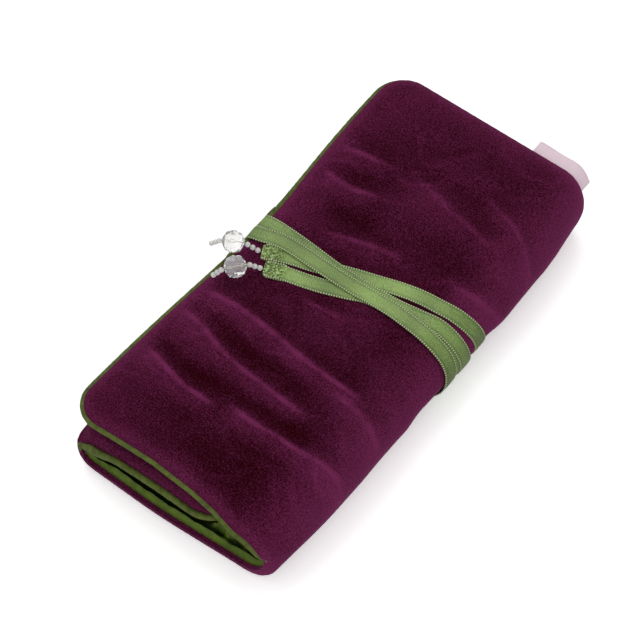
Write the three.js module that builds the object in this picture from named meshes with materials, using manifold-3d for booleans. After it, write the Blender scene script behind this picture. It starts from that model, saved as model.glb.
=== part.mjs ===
// A padded velvet jewellery roll, closed and tied: three quilted panels folded over each other,
// a satin lining, corded piping, two wound satin ribbons with bead drops, a woven label,
// and inside, a zipped pocket and a slip pocket. Millimetres, +Z up, +Y along the roll.

import * as THREE from 'three';
import { mergeVertices } from 'three/addons/utils/BufferGeometryUtils.js';
import Module from 'manifold-3d';

const wasm = await Module();
wasm.setup();

// The closed roll.
const ROLL_LENGTH = 220;
const ROLL_WIDTH = 107;
const FLAP_OVERHANG = 2.5;
const INNER_FLAP_REACH = 64.6;

// One quilted panel, and the spaces between the folded layers.
const PANEL_THICKNESS = 8.2;
const VELVET_THICKNESS = 1.3;
const LINING_THICKNESS = 0.7;
const POCKET_SPACE = 6;
const FLAP_SPACE = 5.4;
const CORNER_RADIUS = 12;
const EDGE_ROLL = 8;
const WADDING_INSET = 1.6;
const PIPING_RADIUS = 1.4;

// Clearances.
const CLEARANCE = 0.3;
const LAYER_GAP = 0.25;
const PIN_CLEARANCE = 0.1;

// The tie draws the roll in to a waist, and lies in a shallow groove.
const TIE_Y = 9.5;
const TIE_HALF_WIDTH = 21;
const GROOVE_DEPTH = 1.6;
const GROOVE_SHOULDER = 15;
const WAIST_DROP = 4.5;
const WAIST_DRAW = 3;
const WAIST_SPREAD = 50;
const WAIST_DRAW_SPREAD = 75;
const WAIST_DRAW_START = -12;
const WAIST_DRAW_RUN = 40;

// The near end settles beside the right fold and lies askew there, and both ends of that fold are
// drawn in.
const SETTLE_DROP = 4.5;
const SETTLE_LENGTH = 42;
const SETTLE_SPAN = 36;
const FAR_DRAW = 2;
const FAR_DRAW_LENGTH = 32;
const FAR_DRAW_SPAN = 20;
const NEAR_DRAW = 2.5;
const NEAR_DRAW_LENGTH = 36;
const NEAR_SKEW = 3.2;
const NEAR_SKEW_START = -15;
const NEAR_SKEW_RUN = 65;

// Main creases across the top, each as a share of the half length, its height share, and the
// shares of the width between which it runs.
const CREASE_HEIGHT = 1.1;
const CREASES = [
  [-0.669, 1, -0.43, 0.28],
  [-0.598, -0.85, -0.43, 0.28],
  [-0.5, 0.85, -0.3, 0.22],
  [-0.421, -0.7, -0.28, 0.13],
  [-0.322, 0.8, -0.17, 0.3],
  [0.437, 0.65, -0.4, -0.16],
  [0.508, -0.3, -0.4, 0.3],
  [0.58, 0.7, -0.44, 0.32],
  [0.66, -0.65, -0.1, 0.22],
];

// Ribbons.
const RIBBON_WIDTH = 7;
const RIBBON_THICKNESS = 0.3;
const RIBBON_PITCH = 0.55;

// Bead drops.
const CRYSTAL_DIAMETER = 10;
const SEED_DIAMETER = 2.3;
const SEED_LENGTH = 1.8;
const THREAD_DIAMETER = 0.5;
const BEAD_BORE = 1;

// Label.
const LABEL_REACH = 6.2;
const LABEL_THICKNESS = 0.7;
const LABEL_FLAT = 16;
const LABEL_LENGTH = 31;

// Zipped pocket on the base and slip pocket on the top flap.
const CLOTH_THICKNESS = 0.6;
const ZIP_FROM_FOLD = 5.3;
const ZIP_END_MARGIN = 16;
const TAPE_WIDTH = 3.95;
const TAPE_SPLIT = 0.5;
const TEETH_WIDTH = 1.35;
const TEETH_HEIGHT = 1.2;
const STOP_LENGTH = 2;
const SLIDER_LENGTH = 8;
const SLIDER_WALL = 1.1;
const PULL_LENGTH = 9.5;
const PULL_WIDTH = 4.4;
const PULL_THICKNESS = 1;
const PIN_RADIUS = 0.6;
const EYE_RADIUS = 1.25;
const EYE_WIDTH = 2.4;
const LUG_WIDTH = 0.8;
const POCKET_MARGIN = 10;
const POCKET_SIDE_MARGIN = 4;
const SLIP_POCKET_START = 20;
const SLIP_POCKET_DEPTH = 50;

// Places that follow from the sizes.
const ROLL_HEIGHT = 3 * PANEL_THICKNESS + POCKET_SPACE + FLAP_SPACE;
const RIGHT_RADIUS = ROLL_HEIGHT / 2;
const LEFT_RADIUS = PANEL_THICKNESS + POCKET_SPACE / 2;
const RIGHT_X = ROLL_WIDTH / 2 - RIGHT_RADIUS;
const LEFT_X = -ROLL_WIDTH / 2 + FLAP_OVERHANG + LEFT_RADIUS;
const PIPING_SPAN = 2 * PIPING_RADIUS + CLEARANCE;
const PIPING_OFFSET = PIPING_RADIUS + CLEARANCE;
const MAT_HALF = ROLL_LENGTH / 2 - PIPING_SPAN;
const TOP_REACH = RIGHT_X + ROLL_WIDTH / 2 - PIPING_SPAN;
const INNER_REACH = INNER_FLAP_REACH - PIPING_SPAN;
const SEAM = PANEL_THICKNESS / 2;
const ZIP_HALF_LENGTH = ROLL_LENGTH / 2 - ZIP_END_MARGIN;

const COLOURS = {
  velvet: [0x4b132d, 0.95, 0],
  wadding: [0xece8de, 1, 0],
  lining: [0x5a6f2f, 0.45, 0],
  piping: [0x60752f, 0.45, 0],
  ribbon: [0x83965f, 0.4, 0],
  label: [0xe4d5dc, 0.8, 0],
  zipTape: [0x566a30, 0.8, 0],
  zipMetal: [0xb9b4a4, 0.35, 1],
  crystal: [0xf0f1f4, 0.05, 0],
  seed: [0xd8ccc4, 0.2, 0],
  thread: [0xd9d2c0, 0.8, 0],
};

const roll = new THREE.Group();

function addMesh(parent, name, look, geometry) {
  const [color, roughness, metalness] = COLOURS[look];
  const mesh = new THREE.Mesh(geometry, new THREE.MeshStandardMaterial({ color, roughness, metalness }));
  mesh.name = name;
  parent.add(mesh);
  return mesh;
}

function smooth(t) {
  const u = Math.min(1, Math.max(0, t));
  return u * u * (3 - 2 * u);
}

function mix(a, b, t) {
  return a + (b - a) * t;
}

// Straight lines between sorted key pairs [at, value].
function between(keys, at) {
  if (at <= keys[0][0]) return keys[0][1];
  for (let i = 1; i < keys.length; i++) {
    const [a, va] = keys[i - 1];
    const [b, vb] = keys[i];
    if (at <= b) return mix(va, vb, (at - a) / (b - a));
  }
  return keys[keys.length - 1][1];
}

// Soft pieces above the base sink and draw in at the tie, settle and lie askew at the near end beside
// the right fold, and are drawn in at both ends of that fold.
function waist(x, y, z) {
  const pull = Math.exp(-(((y - TIE_Y) / WAIST_SPREAD) ** 2));
  const drawPull = Math.exp(-(((y - TIE_Y) / (y < TIE_Y ? WAIST_DRAW_SPREAD : WAIST_SPREAD)) ** 2));
  const sink = smooth((z - PANEL_THICKNESS) / (ROLL_HEIGHT - PANEL_THICKNESS));
  const draw = smooth((WAIST_DRAW_START - x) / WAIST_DRAW_RUN);
  const settle = smooth(1 - (ROLL_LENGTH / 2 + y) / SETTLE_LENGTH) * smooth(1 + (x - RIGHT_X) / SETTLE_SPAN);
  const farDraw = smooth(1 - (ROLL_LENGTH / 2 - y) / FAR_DRAW_LENGTH) * smooth((x - RIGHT_X) / FAR_DRAW_SPAN);
  const near = smooth(1 - (ROLL_LENGTH / 2 + y) / NEAR_DRAW_LENGTH);
  const nearDraw = near * smooth((x - RIGHT_X) / FAR_DRAW_SPAN);
  const skew = near * smooth((x - NEAR_SKEW_START) / NEAR_SKEW_RUN);
  return [
    x + WAIST_DRAW * drawPull * draw - FAR_DRAW * farDraw - NEAR_DRAW * nearDraw,
    y + NEAR_SKEW * skew,
    z - (WAIST_DROP * pull + SETTLE_DROP * settle) * sink,
  ];
}

function groove(y) {
  return GROOVE_DEPTH * (1 - smooth((Math.abs(y - TIE_Y) - TIE_HALF_WIDTH) / GROOVE_SHOULDER));
}

// A closed body from stacked rings of points, capped at both ends.
function ringSolid(rings) {
  const sides = rings[0].length;
  const points = rings.flat(2);
  const faces = [];
  for (let i = 0; i + 1 < rings.length; i++) {
    for (let j = 0; j < sides; j++) {
      const a = i * sides + j;
      const b = i * sides + ((j + 1) % sides);
      faces.push(a, b, b + sides, a, b + sides, a + sides);
    }
  }
  const last = (rings.length - 1) * sides;
  for (let j = 1; j + 1 < sides; j++) {
    faces.push(0, j + 1, j, last, last + j, last + j + 1);
  }
  return closedGeometry(points, faces);
}

// A closed body between two surfaces over a grid of (u, v).
function gridSolid(us, vs, lower, upper) {
  const count = us.length * vs.length;
  const points = [];
  for (const surface of [lower, upper]) {
    for (const u of us) {
      for (const v of vs) points.push(...surface(u, v));
    }
  }
  const faces = [];
  const at = (i, j) => i * vs.length + j;
  for (let i = 0; i + 1 < us.length; i++) {
    for (let j = 0; j + 1 < vs.length; j++) {
      const [a, b, c, d] = [at(i, j), at(i + 1, j), at(i + 1, j + 1), at(i, j + 1)];
      faces.push(a, c, b, a, d, c);
      faces.push(a + count, b + count, c + count, a + count, c + count, d + count);
    }
  }
  const rim = [];
  for (let i = 0; i < us.length; i++) rim.push(at(i, 0));
  for (let j = 1; j < vs.length; j++) rim.push(at(us.length - 1, j));
  for (let i = us.length - 2; i >= 0; i--) rim.push(at(i, vs.length - 1));
  for (let j = vs.length - 2; j > 0; j--) rim.push(at(0, j));
  rim.forEach((a, k) => {
    const b = rim[(k + 1) % rim.length];
    faces.push(a, b, b + count, a, b + count, a + count);
  });
  return closedGeometry(points, faces);
}

// Faces are turned round where the body comes out inside out.
function closedGeometry(points, faces) {
  const p = (i) => new THREE.Vector3(points[3 * i], points[3 * i + 1], points[3 * i + 2]);
  let volume = 0;
  for (let k = 0; k < faces.length; k += 3) {
    volume += p(faces[k]).dot(p(faces[k + 1]).cross(p(faces[k + 2])));
  }
  if (volume < 0) {
    for (let k = 0; k < faces.length; k += 3) {
      [faces[k + 1], faces[k + 2]] = [faces[k + 2], faces[k + 1]];
    }
  }
  const geometry = new THREE.BufferGeometry();
  geometry.setAttribute('position', new THREE.Float32BufferAttribute(points, 3));
  geometry.setIndex(faces);
  geometry.computeVertexNormals();
  return geometry;
}

function toSolid(geometry) {
  const bare = geometry.clone();
  bare.deleteAttribute('normal');
  bare.deleteAttribute('uv');
  const merged = mergeVertices(bare, 1e-4);
  const vertProperties = new Float32Array(merged.attributes.position.array);
  const triVerts = new Uint32Array(merged.index.array);
  return new wasm.Manifold(new wasm.Mesh({ numProp: 3, vertProperties, triVerts }));
}

function fromSolid(solid) {
  const mesh = solid.getMesh();
  const geometry = new THREE.BufferGeometry();
  geometry.setAttribute('position', new THREE.Float32BufferAttribute(mesh.vertProperties, 3));
  geometry.setIndex(Array.from(mesh.triVerts));
  geometry.computeVertexNormals();
  return geometry;
}

function box(x0, x1, y0, y1, z0, z1) {
  const geometry = new THREE.BoxGeometry(x1 - x0, y1 - y0, z1 - z0);
  return geometry.translate((x0 + x1) / 2, (y0 + y1) / 2, (z0 + z1) / 2);
}

function rodAlongX(radius, x0, x1, y, z, sides) {
  const geometry = new THREE.CylinderGeometry(radius, radius, x1 - x0, sides);
  geometry.rotateZ(Math.PI / 2);
  return geometry.translate((x0 + x1) / 2, y, z);
}

// The mat runs as five segments from the inner flap, round the left fold, along the base,
// round the right fold and over as the top flap. Each place turns a distance s across the mat
// and a depth n below the velvet face into X and Z. On the folds s is an angle.
function freeStations(from, to) {
  const flat = to - EDGE_ROLL;
  return [from, mix(from, flat, 0.36), mix(from, flat, 0.7), flat, to - EDGE_ROLL / 2, to - 1.5, to];
}

function evenStations(from, to, steps) {
  return Array.from({ length: steps + 1 }, (_, i) => mix(from, to, i / steps));
}

const BASE = {
  stations: evenStations(CLEARANCE, RIGHT_X - LEFT_X - CLEARANCE, 4),
  place: (s, n) => [LEFT_X + s, n],
};
const RIGHT_FOLD = {
  stations: evenStations(-Math.PI / 2, Math.PI / 2, 12),
  place: (s, n) => [
    RIGHT_X + (RIGHT_RADIUS - n) * Math.cos(s),
    RIGHT_RADIUS + (RIGHT_RADIUS - n) * Math.sin(s),
  ],
};
const TOP_FLAP = {
  free: TOP_REACH,
  creased: true,
  stations: freeStations(CLEARANCE, TOP_REACH),
  place: (s, n) => [RIGHT_X - s, ROLL_HEIGHT - n],
};
const LEFT_FOLD = {
  stations: evenStations(-Math.PI / 2, Math.PI / 2, 10),
  place: (s, n) => [
    LEFT_X - (LEFT_RADIUS - n) * Math.cos(s),
    LEFT_RADIUS + (LEFT_RADIUS - n) * Math.sin(s),
  ],
};
const INNER_FLAP = {
  free: INNER_REACH,
  hidden: true,
  stations: freeStations(CLEARANCE, INNER_REACH),
  place: (s, n) => [LEFT_X + s, 2 * LEFT_RADIUS - n],
};

// Stations along the length, as shares of the half length: close at the ends, on the creases and
// at the groove.
const LENGTH_STATIONS = [
  -MAT_HALF,
  -MAT_HALF + 1.5,
  -MAT_HALF + EDGE_ROLL / 2,
  -MAT_HALF + EDGE_ROLL,
  -MAT_HALF * 0.79,
  ...CREASES.filter(([share]) => share < 0).map(([share]) => share * MAT_HALF),
  TIE_Y - TIE_HALF_WIDTH - GROOVE_SHOULDER,
  TIE_Y - TIE_HALF_WIDTH - GROOVE_SHOULDER / 2,
  TIE_Y - TIE_HALF_WIDTH,
  TIE_Y,
  TIE_Y + TIE_HALF_WIDTH,
  TIE_Y + TIE_HALF_WIDTH + GROOVE_SHOULDER / 2,
  TIE_Y + TIE_HALF_WIDTH + GROOVE_SHOULDER,
  ...CREASES.filter(([share]) => share > 0.45).map(([share]) => share * MAT_HALF),
  MAT_HALF * 0.82,
  MAT_HALF - EDGE_ROLL,
  MAT_HALF - EDGE_ROLL / 2,
  MAT_HALF - 1.5,
  MAT_HALF,
].map((y) => y / MAT_HALF);

// Place along Y of a station: the stretch beside the rounded corners takes up a shorter outline.
function lengthAt(share, half) {
  const held = MAT_HALF - 2.2 * CORNER_RADIUS;
  const y = Math.abs(share) * MAT_HALF;
  return Math.sign(share) * (y <= held ? y : mix(held, half, (y - held) / (MAT_HALF - held)));
}

// Half length of the rounded outline at s, drawn in by an inset.
function halfLength(segment, s, inset) {
  const full = MAT_HALF - inset;
  if (segment.free === undefined) return full;
  const r = CORNER_RADIUS - inset;
  const fromEnd = Math.max(0, segment.free - inset - s);
  return fromEnd >= r ? full : full - r + Math.sqrt(r * r - (r - fromEnd) ** 2);
}

// How far the faces stand off the seam: 0 at the edge, 1 once past the rolled border.
function fullness(segment, s, y) {
  const acrossGap = segment.free === undefined ? EDGE_ROLL * 9 : segment.free - s;
  const alongGap = MAT_HALF - Math.abs(y);
  const r = CORNER_RADIUS;
  let distance = Math.min(acrossGap, alongGap);
  if (acrossGap < r && alongGap < r) {
    distance = r - Math.hypot(r - acrossGap, r - alongGap);
  }
  const t = Math.min(1, Math.max(0, distance / EDGE_ROLL));
  return Math.sqrt(1 - (1 - t) ** 2);
}

// Height of the creases: straight between one station and the next, and faded out at both ends.
function creaseRise(x, y) {
  const keys = [[TIE_Y - TIE_HALF_WIDTH - GROOVE_SHOULDER, 0], [TIE_Y + TIE_HALF_WIDTH + GROOVE_SHOULDER / 2, 0]];
  for (const [share, height, from, to] of CREASES) {
    const fade = smooth((x / ROLL_WIDTH - from) / 0.1 + 0.7) * smooth((to - x / ROLL_WIDTH) / 0.1 + 0.7);
    keys.push([share * MAT_HALF, CREASE_HEIGHT * height * fade]);
  }
  keys.push([-MAT_HALF * 0.79, 0], [MAT_HALF * 0.82, 0]);
  return between(keys.sort((a, b) => a[0] - b[0]), y);
}

function velvetFace(segment, s, y) {
  let full = segment.hidden ? 0 : groove(y);
  if (segment.creased) full -= creaseRise(segment.place(s, 0)[0], y);
  return mix(SEAM - LAYER_GAP / 2 - VELVET_THICKNESS, full, fullness(segment, s, y));
}

function liningBack(segment, s, y) {
  return mix(SEAM + LAYER_GAP / 2, PANEL_THICKNESS - LINING_THICKNESS, fullness(segment, s, y));
}

function layer(segment, inset, low, high) {
  const stations = segment.stations.map((s) =>
    segment.free === undefined ? s : Math.min(s, segment.free - inset - (segment.free - s) * 0.2),
  );
  const at = (depth) => (s, share) => {
    const y = lengthAt(share, halfLength(segment, s, inset));
    const [x, z] = segment.place(s, depth(segment, s, y));
    return waist(x, y, z);
  };
  return gridSolid(inset === 0 ? segment.stations : stations, LENGTH_STATIONS, at(low), at(high));
}

function addPanel(name, segment) {
  const velvetBack = (g, s, y) => velvetFace(g, s, y) + VELVET_THICKNESS;
  const liningFace = (g, s, y) => liningBack(g, s, y) + LINING_THICKNESS;
  addMesh(roll, `${name}_velvet`, 'velvet', layer(segment, 0, velvetFace, velvetBack));
  addMesh(
    roll,
    `${name}_wadding`,
    'wadding',
    layer(
      segment,
      WADDING_INSET,
      (g, s, y) => velvetBack(g, s, y) + LAYER_GAP,
      (g, s, y) => liningBack(g, s, y) - LAYER_GAP,
    ),
  );
  addMesh(roll, `${name}_lining`, 'lining', layer(segment, 0, liningBack, liningFace));
}

addPanel('base', BASE);
addPanel('right_fold', RIGHT_FOLD);
addPanel('left_fold', LEFT_FOLD);
addPanel('top_flap', TOP_FLAP);
addPanel('inner_flap', INNER_FLAP);

// Piping: a cord just outside the seam, level with it.
const PIPING_SIDES = 8;

function pipingRing(segment, s, y, outS, outY) {
  return evenStations(0, 2 * Math.PI, PIPING_SIDES)
    .slice(0, PIPING_SIDES)
    .map((angle) => {
      const out = PIPING_OFFSET + PIPING_RADIUS * Math.cos(angle);
      const [x, z] = segment.place(s + outS * out, SEAM + PIPING_RADIUS * Math.sin(angle));
      return waist(x, y + outY * out, z);
    });
}

function addEndPiping(name, segment) {
  for (const [end, side] of [['near', -1], ['far', 1]]) {
    const rings = segment.stations.map((s) => pipingRing(segment, s, side * MAT_HALF, 0, side));
    addMesh(roll, `${name}_piping_${end}`, 'piping', ringSolid(rings));
  }
}

function addFlapPiping(name, segment) {
  const r = CORNER_RADIUS;
  const straight = segment.free - r;
  const rings = [];
  const corner = (side, angle) => {
    const outS = Math.sin(angle);
    const outY = side * Math.cos(angle);
    rings.push(pipingRing(segment, straight + r * outS, side * (MAT_HALF - r) + r * outY, outS, outY));
  };
  const inward = segment.stations.filter((s) => s < straight - CLEARANCE);
  for (const s of inward) rings.push(pipingRing(segment, s, -MAT_HALF, 0, -1));
  for (const angle of evenStations(0, Math.PI / 2, 5)) corner(-1, angle);
  for (const share of [-0.7, -0.45, -0.22, 0, 0.09, 0.2, 0.42, 0.65, 0.85]) {
    rings.push(pipingRing(segment, segment.free, share * (MAT_HALF - r), 1, 0));
  }
  for (const angle of evenStations(Math.PI / 2, 0, 5)) corner(1, angle);
  for (const s of inward.reverse()) rings.push(pipingRing(segment, s, MAT_HALF, 0, 1));
  addMesh(roll, `${name}_piping`, 'piping', ringSolid(rings));
}

addEndPiping('base', BASE);
addEndPiping('right_fold', RIGHT_FOLD);
addEndPiping('left_fold', LEFT_FOLD);
addFlapPiping('top_flap', TOP_FLAP);
addFlapPiping('inner_flap', INNER_FLAP);

// Woven label: a folded loop sewn into the far seam, round the upper part of the right fold.
function labelPoint(run, y, depth) {
  const radius = RIGHT_RADIUS - SEAM;
  const turned = Math.PI / 2 - Math.max(0, run - LABEL_FLAT) / radius;
  const x = RIGHT_X - Math.max(0, LABEL_FLAT - run);
  return [x + (radius + depth) * Math.cos(turned), y, RIGHT_RADIUS + (radius + depth) * Math.sin(turned)];
}

const labelStart = ROLL_LENGTH / 2 + CLEARANCE;
const labelRuns = [0, LABEL_FLAT / 2, ...evenStations(LABEL_FLAT, LABEL_LENGTH, 5)];
addMesh(
  roll,
  'label',
  'label',
  gridSolid(
    labelRuns,
    [labelStart, labelStart + LABEL_REACH],
    (run, y) => labelPoint(run, y, -LABEL_THICKNESS / 2),
    (run, y) => labelPoint(run, y, LABEL_THICKNESS / 2),
  ),
);

// Ribbon route. One turn is five stages: 0 over the piped free edge, 1 down round the left fold,
// 2 under the base, 3 up round the right fold, 4 over the top to the free edge again.
const TOP_RUN = TOP_REACH - 1;
const edgeCentre = [TOP_FLAP.place(TOP_REACH + PIPING_OFFSET, SEAM)[0], ROLL_HEIGHT - SEAM];
const edgeToFold = Math.atan2(edgeCentre[1] - LEFT_RADIUS, edgeCentre[0] - LEFT_X);
const edgeReach = Math.hypot(edgeCentre[1] - LEFT_RADIUS, edgeCentre[0] - LEFT_X);

// Direction, as an angle in the XZ plane, in which the taut ribbon leaves the edge and meets the fold.
function tautAngle(lift) {
  const inner = LEFT_RADIUS - GROOVE_DEPTH + lift;
  const outer = PIPING_RADIUS + lift;
  return edgeToFold + Math.acos((inner - outer) / edgeReach);
}

function routePoint(turn, lift) {
  const stage = Math.min(4, Math.floor(turn % 5));
  const part = (turn % 5) - stage;
  const taut = tautAngle(lift);
  let x;
  let z;
  let angle;
  if (stage === 0) {
    angle = mix(Math.PI / 2, taut, part);
    x = edgeCentre[0] + (PIPING_RADIUS + lift) * Math.cos(angle);
    z = edgeCentre[1] + (PIPING_RADIUS + lift) * Math.sin(angle);
  } else if (stage === 1) {
    angle = mix(taut, 1.5 * Math.PI, part);
    x = LEFT_X + (LEFT_RADIUS - GROOVE_DEPTH + lift) * Math.cos(angle);
    z = LEFT_RADIUS + (LEFT_RADIUS - GROOVE_DEPTH + lift) * Math.sin(angle);
  } else if (stage === 2) {
    angle = 1.5 * Math.PI;
    [x, z] = BASE.place(part * (RIGHT_X - LEFT_X), GROOVE_DEPTH - lift);
  } else if (stage === 3) {
    angle = mix(-0.5, 0.5, part) * Math.PI;
    [x, z] = RIGHT_FOLD.place(angle, GROOVE_DEPTH - lift);
  } else {
    angle = Math.PI / 2;
    const s = part * TOP_RUN;
    [x, z] = TOP_FLAP.place(s, velvetFace(TOP_FLAP, s, TIE_Y) - lift);
  }
  return { x, z, out: [Math.cos(angle), 0, Math.sin(angle)] };
}

// Turn values of one full turn, and the turn value over the top at a given X.
const TURN_STEPS = [
  ...evenStations(0, 1, 4).slice(0, 4),
  ...evenStations(1, 2, 5).slice(0, 5),
  ...evenStations(2, 3, 5).slice(0, 5),
  ...evenStations(3, 4, 12).slice(0, 12),
  ...evenStations(4, 5, 14).slice(0, 14),
];

// The turn at which a loop crosses the top flap, at a share of the roll's width from its middle.
function overTop(loop, share) {
  return 5 * loop + 4 + (RIGHT_X - share * ROLL_WIDTH) / TOP_RUN;
}

function ribbonCentres(ribbon) {
  const first = ribbon.along[0][0];
  const last = ribbon.along[ribbon.along.length - 1][0];
  const turns = [first];
  for (const loop of [0, 1]) {
    for (const step of TURN_STEPS) {
      const turn = step + 5 * loop;
      if (turn > first + 0.02 && turn < last - 0.02) turns.push(turn);
    }
  }
  turns.push(last);
  return turns.map((turn) => {
    const lift = CLEARANCE + RIBBON_PITCH * between(ribbon.layers, turn);
    const { x, z, out } = routePoint(turn, lift);
    const y = TIE_Y + RIBBON_WIDTH * between(ribbon.along, turn);
    return { at: new THREE.Vector3(...waist(x, y, z)), out };
  });
}

function ribbonGeometry(centres) {
  const rings = centres.map(({ at, out }, i) => {
    const before = centres[Math.max(0, i - 1)].at;
    const after = centres[Math.min(centres.length - 1, i + 1)].at;
    const forward = after.clone().sub(before).normalize();
    const across = new THREE.Vector3(...out).cross(forward).normalize().multiplyScalar(RIBBON_WIDTH / 2);
    const up = forward.clone().cross(across).normalize().multiplyScalar(RIBBON_THICKNESS);
    const corners = [
      at.clone().sub(across),
      at.clone().add(across),
      at.clone().add(across).add(up),
      at.clone().sub(across).add(up),
    ];
    return corners.map((p) => p.toArray());
  });
  return ringSolid(rings);
}

// Each ribbon along its turns: how far its middle lies from the tie's middle, in ribbon
// widths, and how many ribbons lie beneath it there.
const RIBBON_A = {
  along: [
    [0.95, 1.3571],
    [2, 1.3571],
    [3, 0.72],
    [3.5, 0.74],
    [3.8, 0.8],
    [3.95, 0.76],
    [overTop(0, 0.28), 0.52],
    [overTop(0, 0.2), 0.32],
    [overTop(0, 0.1), 0.2],
    [overTop(0, 0), 0.165],
    [overTop(0, -0.1), 0.195],
    [overTop(0, -0.2), 0.31],
    [overTop(0, -0.3), 0.41],
    [overTop(0, -0.43), 0.46],
    [6, 0.4],
    [7, 0.2],
    [8, 2.35],
    [8.5, 2.42],
    [8.66, 2.31],
    [8.79, 2.15],
    [8.9, 2.02],
    [9, 1.88],
    [overTop(1, 0.26), 1.8],
    [overTop(1, 0.2), 1.63],
    [overTop(1, 0.14), 1.38],
    [overTop(1, 0.07), 1.02],
    [overTop(1, 0), 0.69],
    [overTop(1, -0.09), 0.2],
    [overTop(1, -0.18), -0.3],
    [overTop(1, -0.27), -0.66],
    [overTop(1, -0.345), -1.1],
    [overTop(1, -0.3925), -1.46],
  ],
  layers: [[2.8, 0], [3.1, 1], [7.9, 1], [8.3, 0]],
};
const RIBBON_B = {
  along: [
    [0.95, -2.2857],
    [2, -2.2857],
    [3, -1.35],
    [3.5, -0.7],
    [3.62, -0.44],
    [3.73, -0.27],
    [3.85, -0.2],
    [3.97, -0.1],
    [overTop(0, 0.27), 0],
    [overTop(0, 0.2), 0.03],
    [overTop(0, 0.1), -0.06],
    [overTop(0, 0.02), -0.165],
    [overTop(0, -0.09), -0.17],
    [overTop(0, -0.2), -0.13],
    [overTop(0, -0.32), -0.1],
    [overTop(0, -0.39), -0.26],
    [overTop(0, -0.45), -0.56],
    [6, -0.75],
    [7, -1.0714],
    [8, -0.45],
    [8.35, 0.1],
    [8.75, 0.35],
    [9, 0.35],
    [overTop(1, 0.2), 0.2],
    [overTop(1, 0.1), -0.02],
    [overTop(1, 0.06), -0.15],
    [overTop(1, 0.02), -0.5],
    [overTop(1, -0.02), -0.74],
    [overTop(1, -0.085), -1.16],
    [overTop(1, -0.16), -1.52],
    [overTop(1, -0.25), -1.85],
    [overTop(1, -0.33), -2.33],
  ],
  layers: [[2.2, 0], [2.6, 1], [3.4, 1], [3.8, 2], [4.95, 2], [6, 0]],
};

// A bead: an outline of [radius, along] pairs turned about a bored axis, along +Z before placing.
function beadGeometry(outline, sides) {
  const bore = BEAD_BORE / 2;
  const ends = [outline[0][1], outline[outline.length - 1][1]];
  const profile = [[bore, ends[0]], ...outline, [bore, ends[1]], [bore, ends[0]]];
  const lathe = new THREE.LatheGeometry(profile.map(([r, a]) => new THREE.Vector2(r, a)), sides);
  lathe.rotateX(Math.PI / 2);
  lathe.deleteAttribute('normal');
  lathe.deleteAttribute('uv');
  const merged = mergeVertices(lathe, 1e-4);
  return closedGeometry(Array.from(merged.attributes.position.array), Array.from(merged.index.array));
}

const crystalHalf = CRYSTAL_DIAMETER * 0.47;
const CRYSTAL_OUTLINE = [
  [CRYSTAL_DIAMETER * 0.16, -crystalHalf],
  [CRYSTAL_DIAMETER * 0.36, -crystalHalf * 0.72],
  [CRYSTAL_DIAMETER * 0.49, -crystalHalf * 0.26],
  [CRYSTAL_DIAMETER * 0.49, crystalHalf * 0.26],
  [CRYSTAL_DIAMETER * 0.36, crystalHalf * 0.72],
  [CRYSTAL_DIAMETER * 0.16, crystalHalf],
];
const SEED_OUTLINE = [
  [SEED_DIAMETER * 0.32, -SEED_LENGTH / 2],
  [SEED_DIAMETER * 0.5, -SEED_LENGTH / 4],
  [SEED_DIAMETER * 0.5, SEED_LENGTH / 4],
  [SEED_DIAMETER * 0.32, SEED_LENGTH / 2],
];

function placed(geometry, at, direction) {
  const turn = new THREE.Quaternion().setFromUnitVectors(new THREE.Vector3(0, 0, 1), direction);
  return geometry.applyQuaternion(turn).translate(at.x, at.y, at.z);
}

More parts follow.
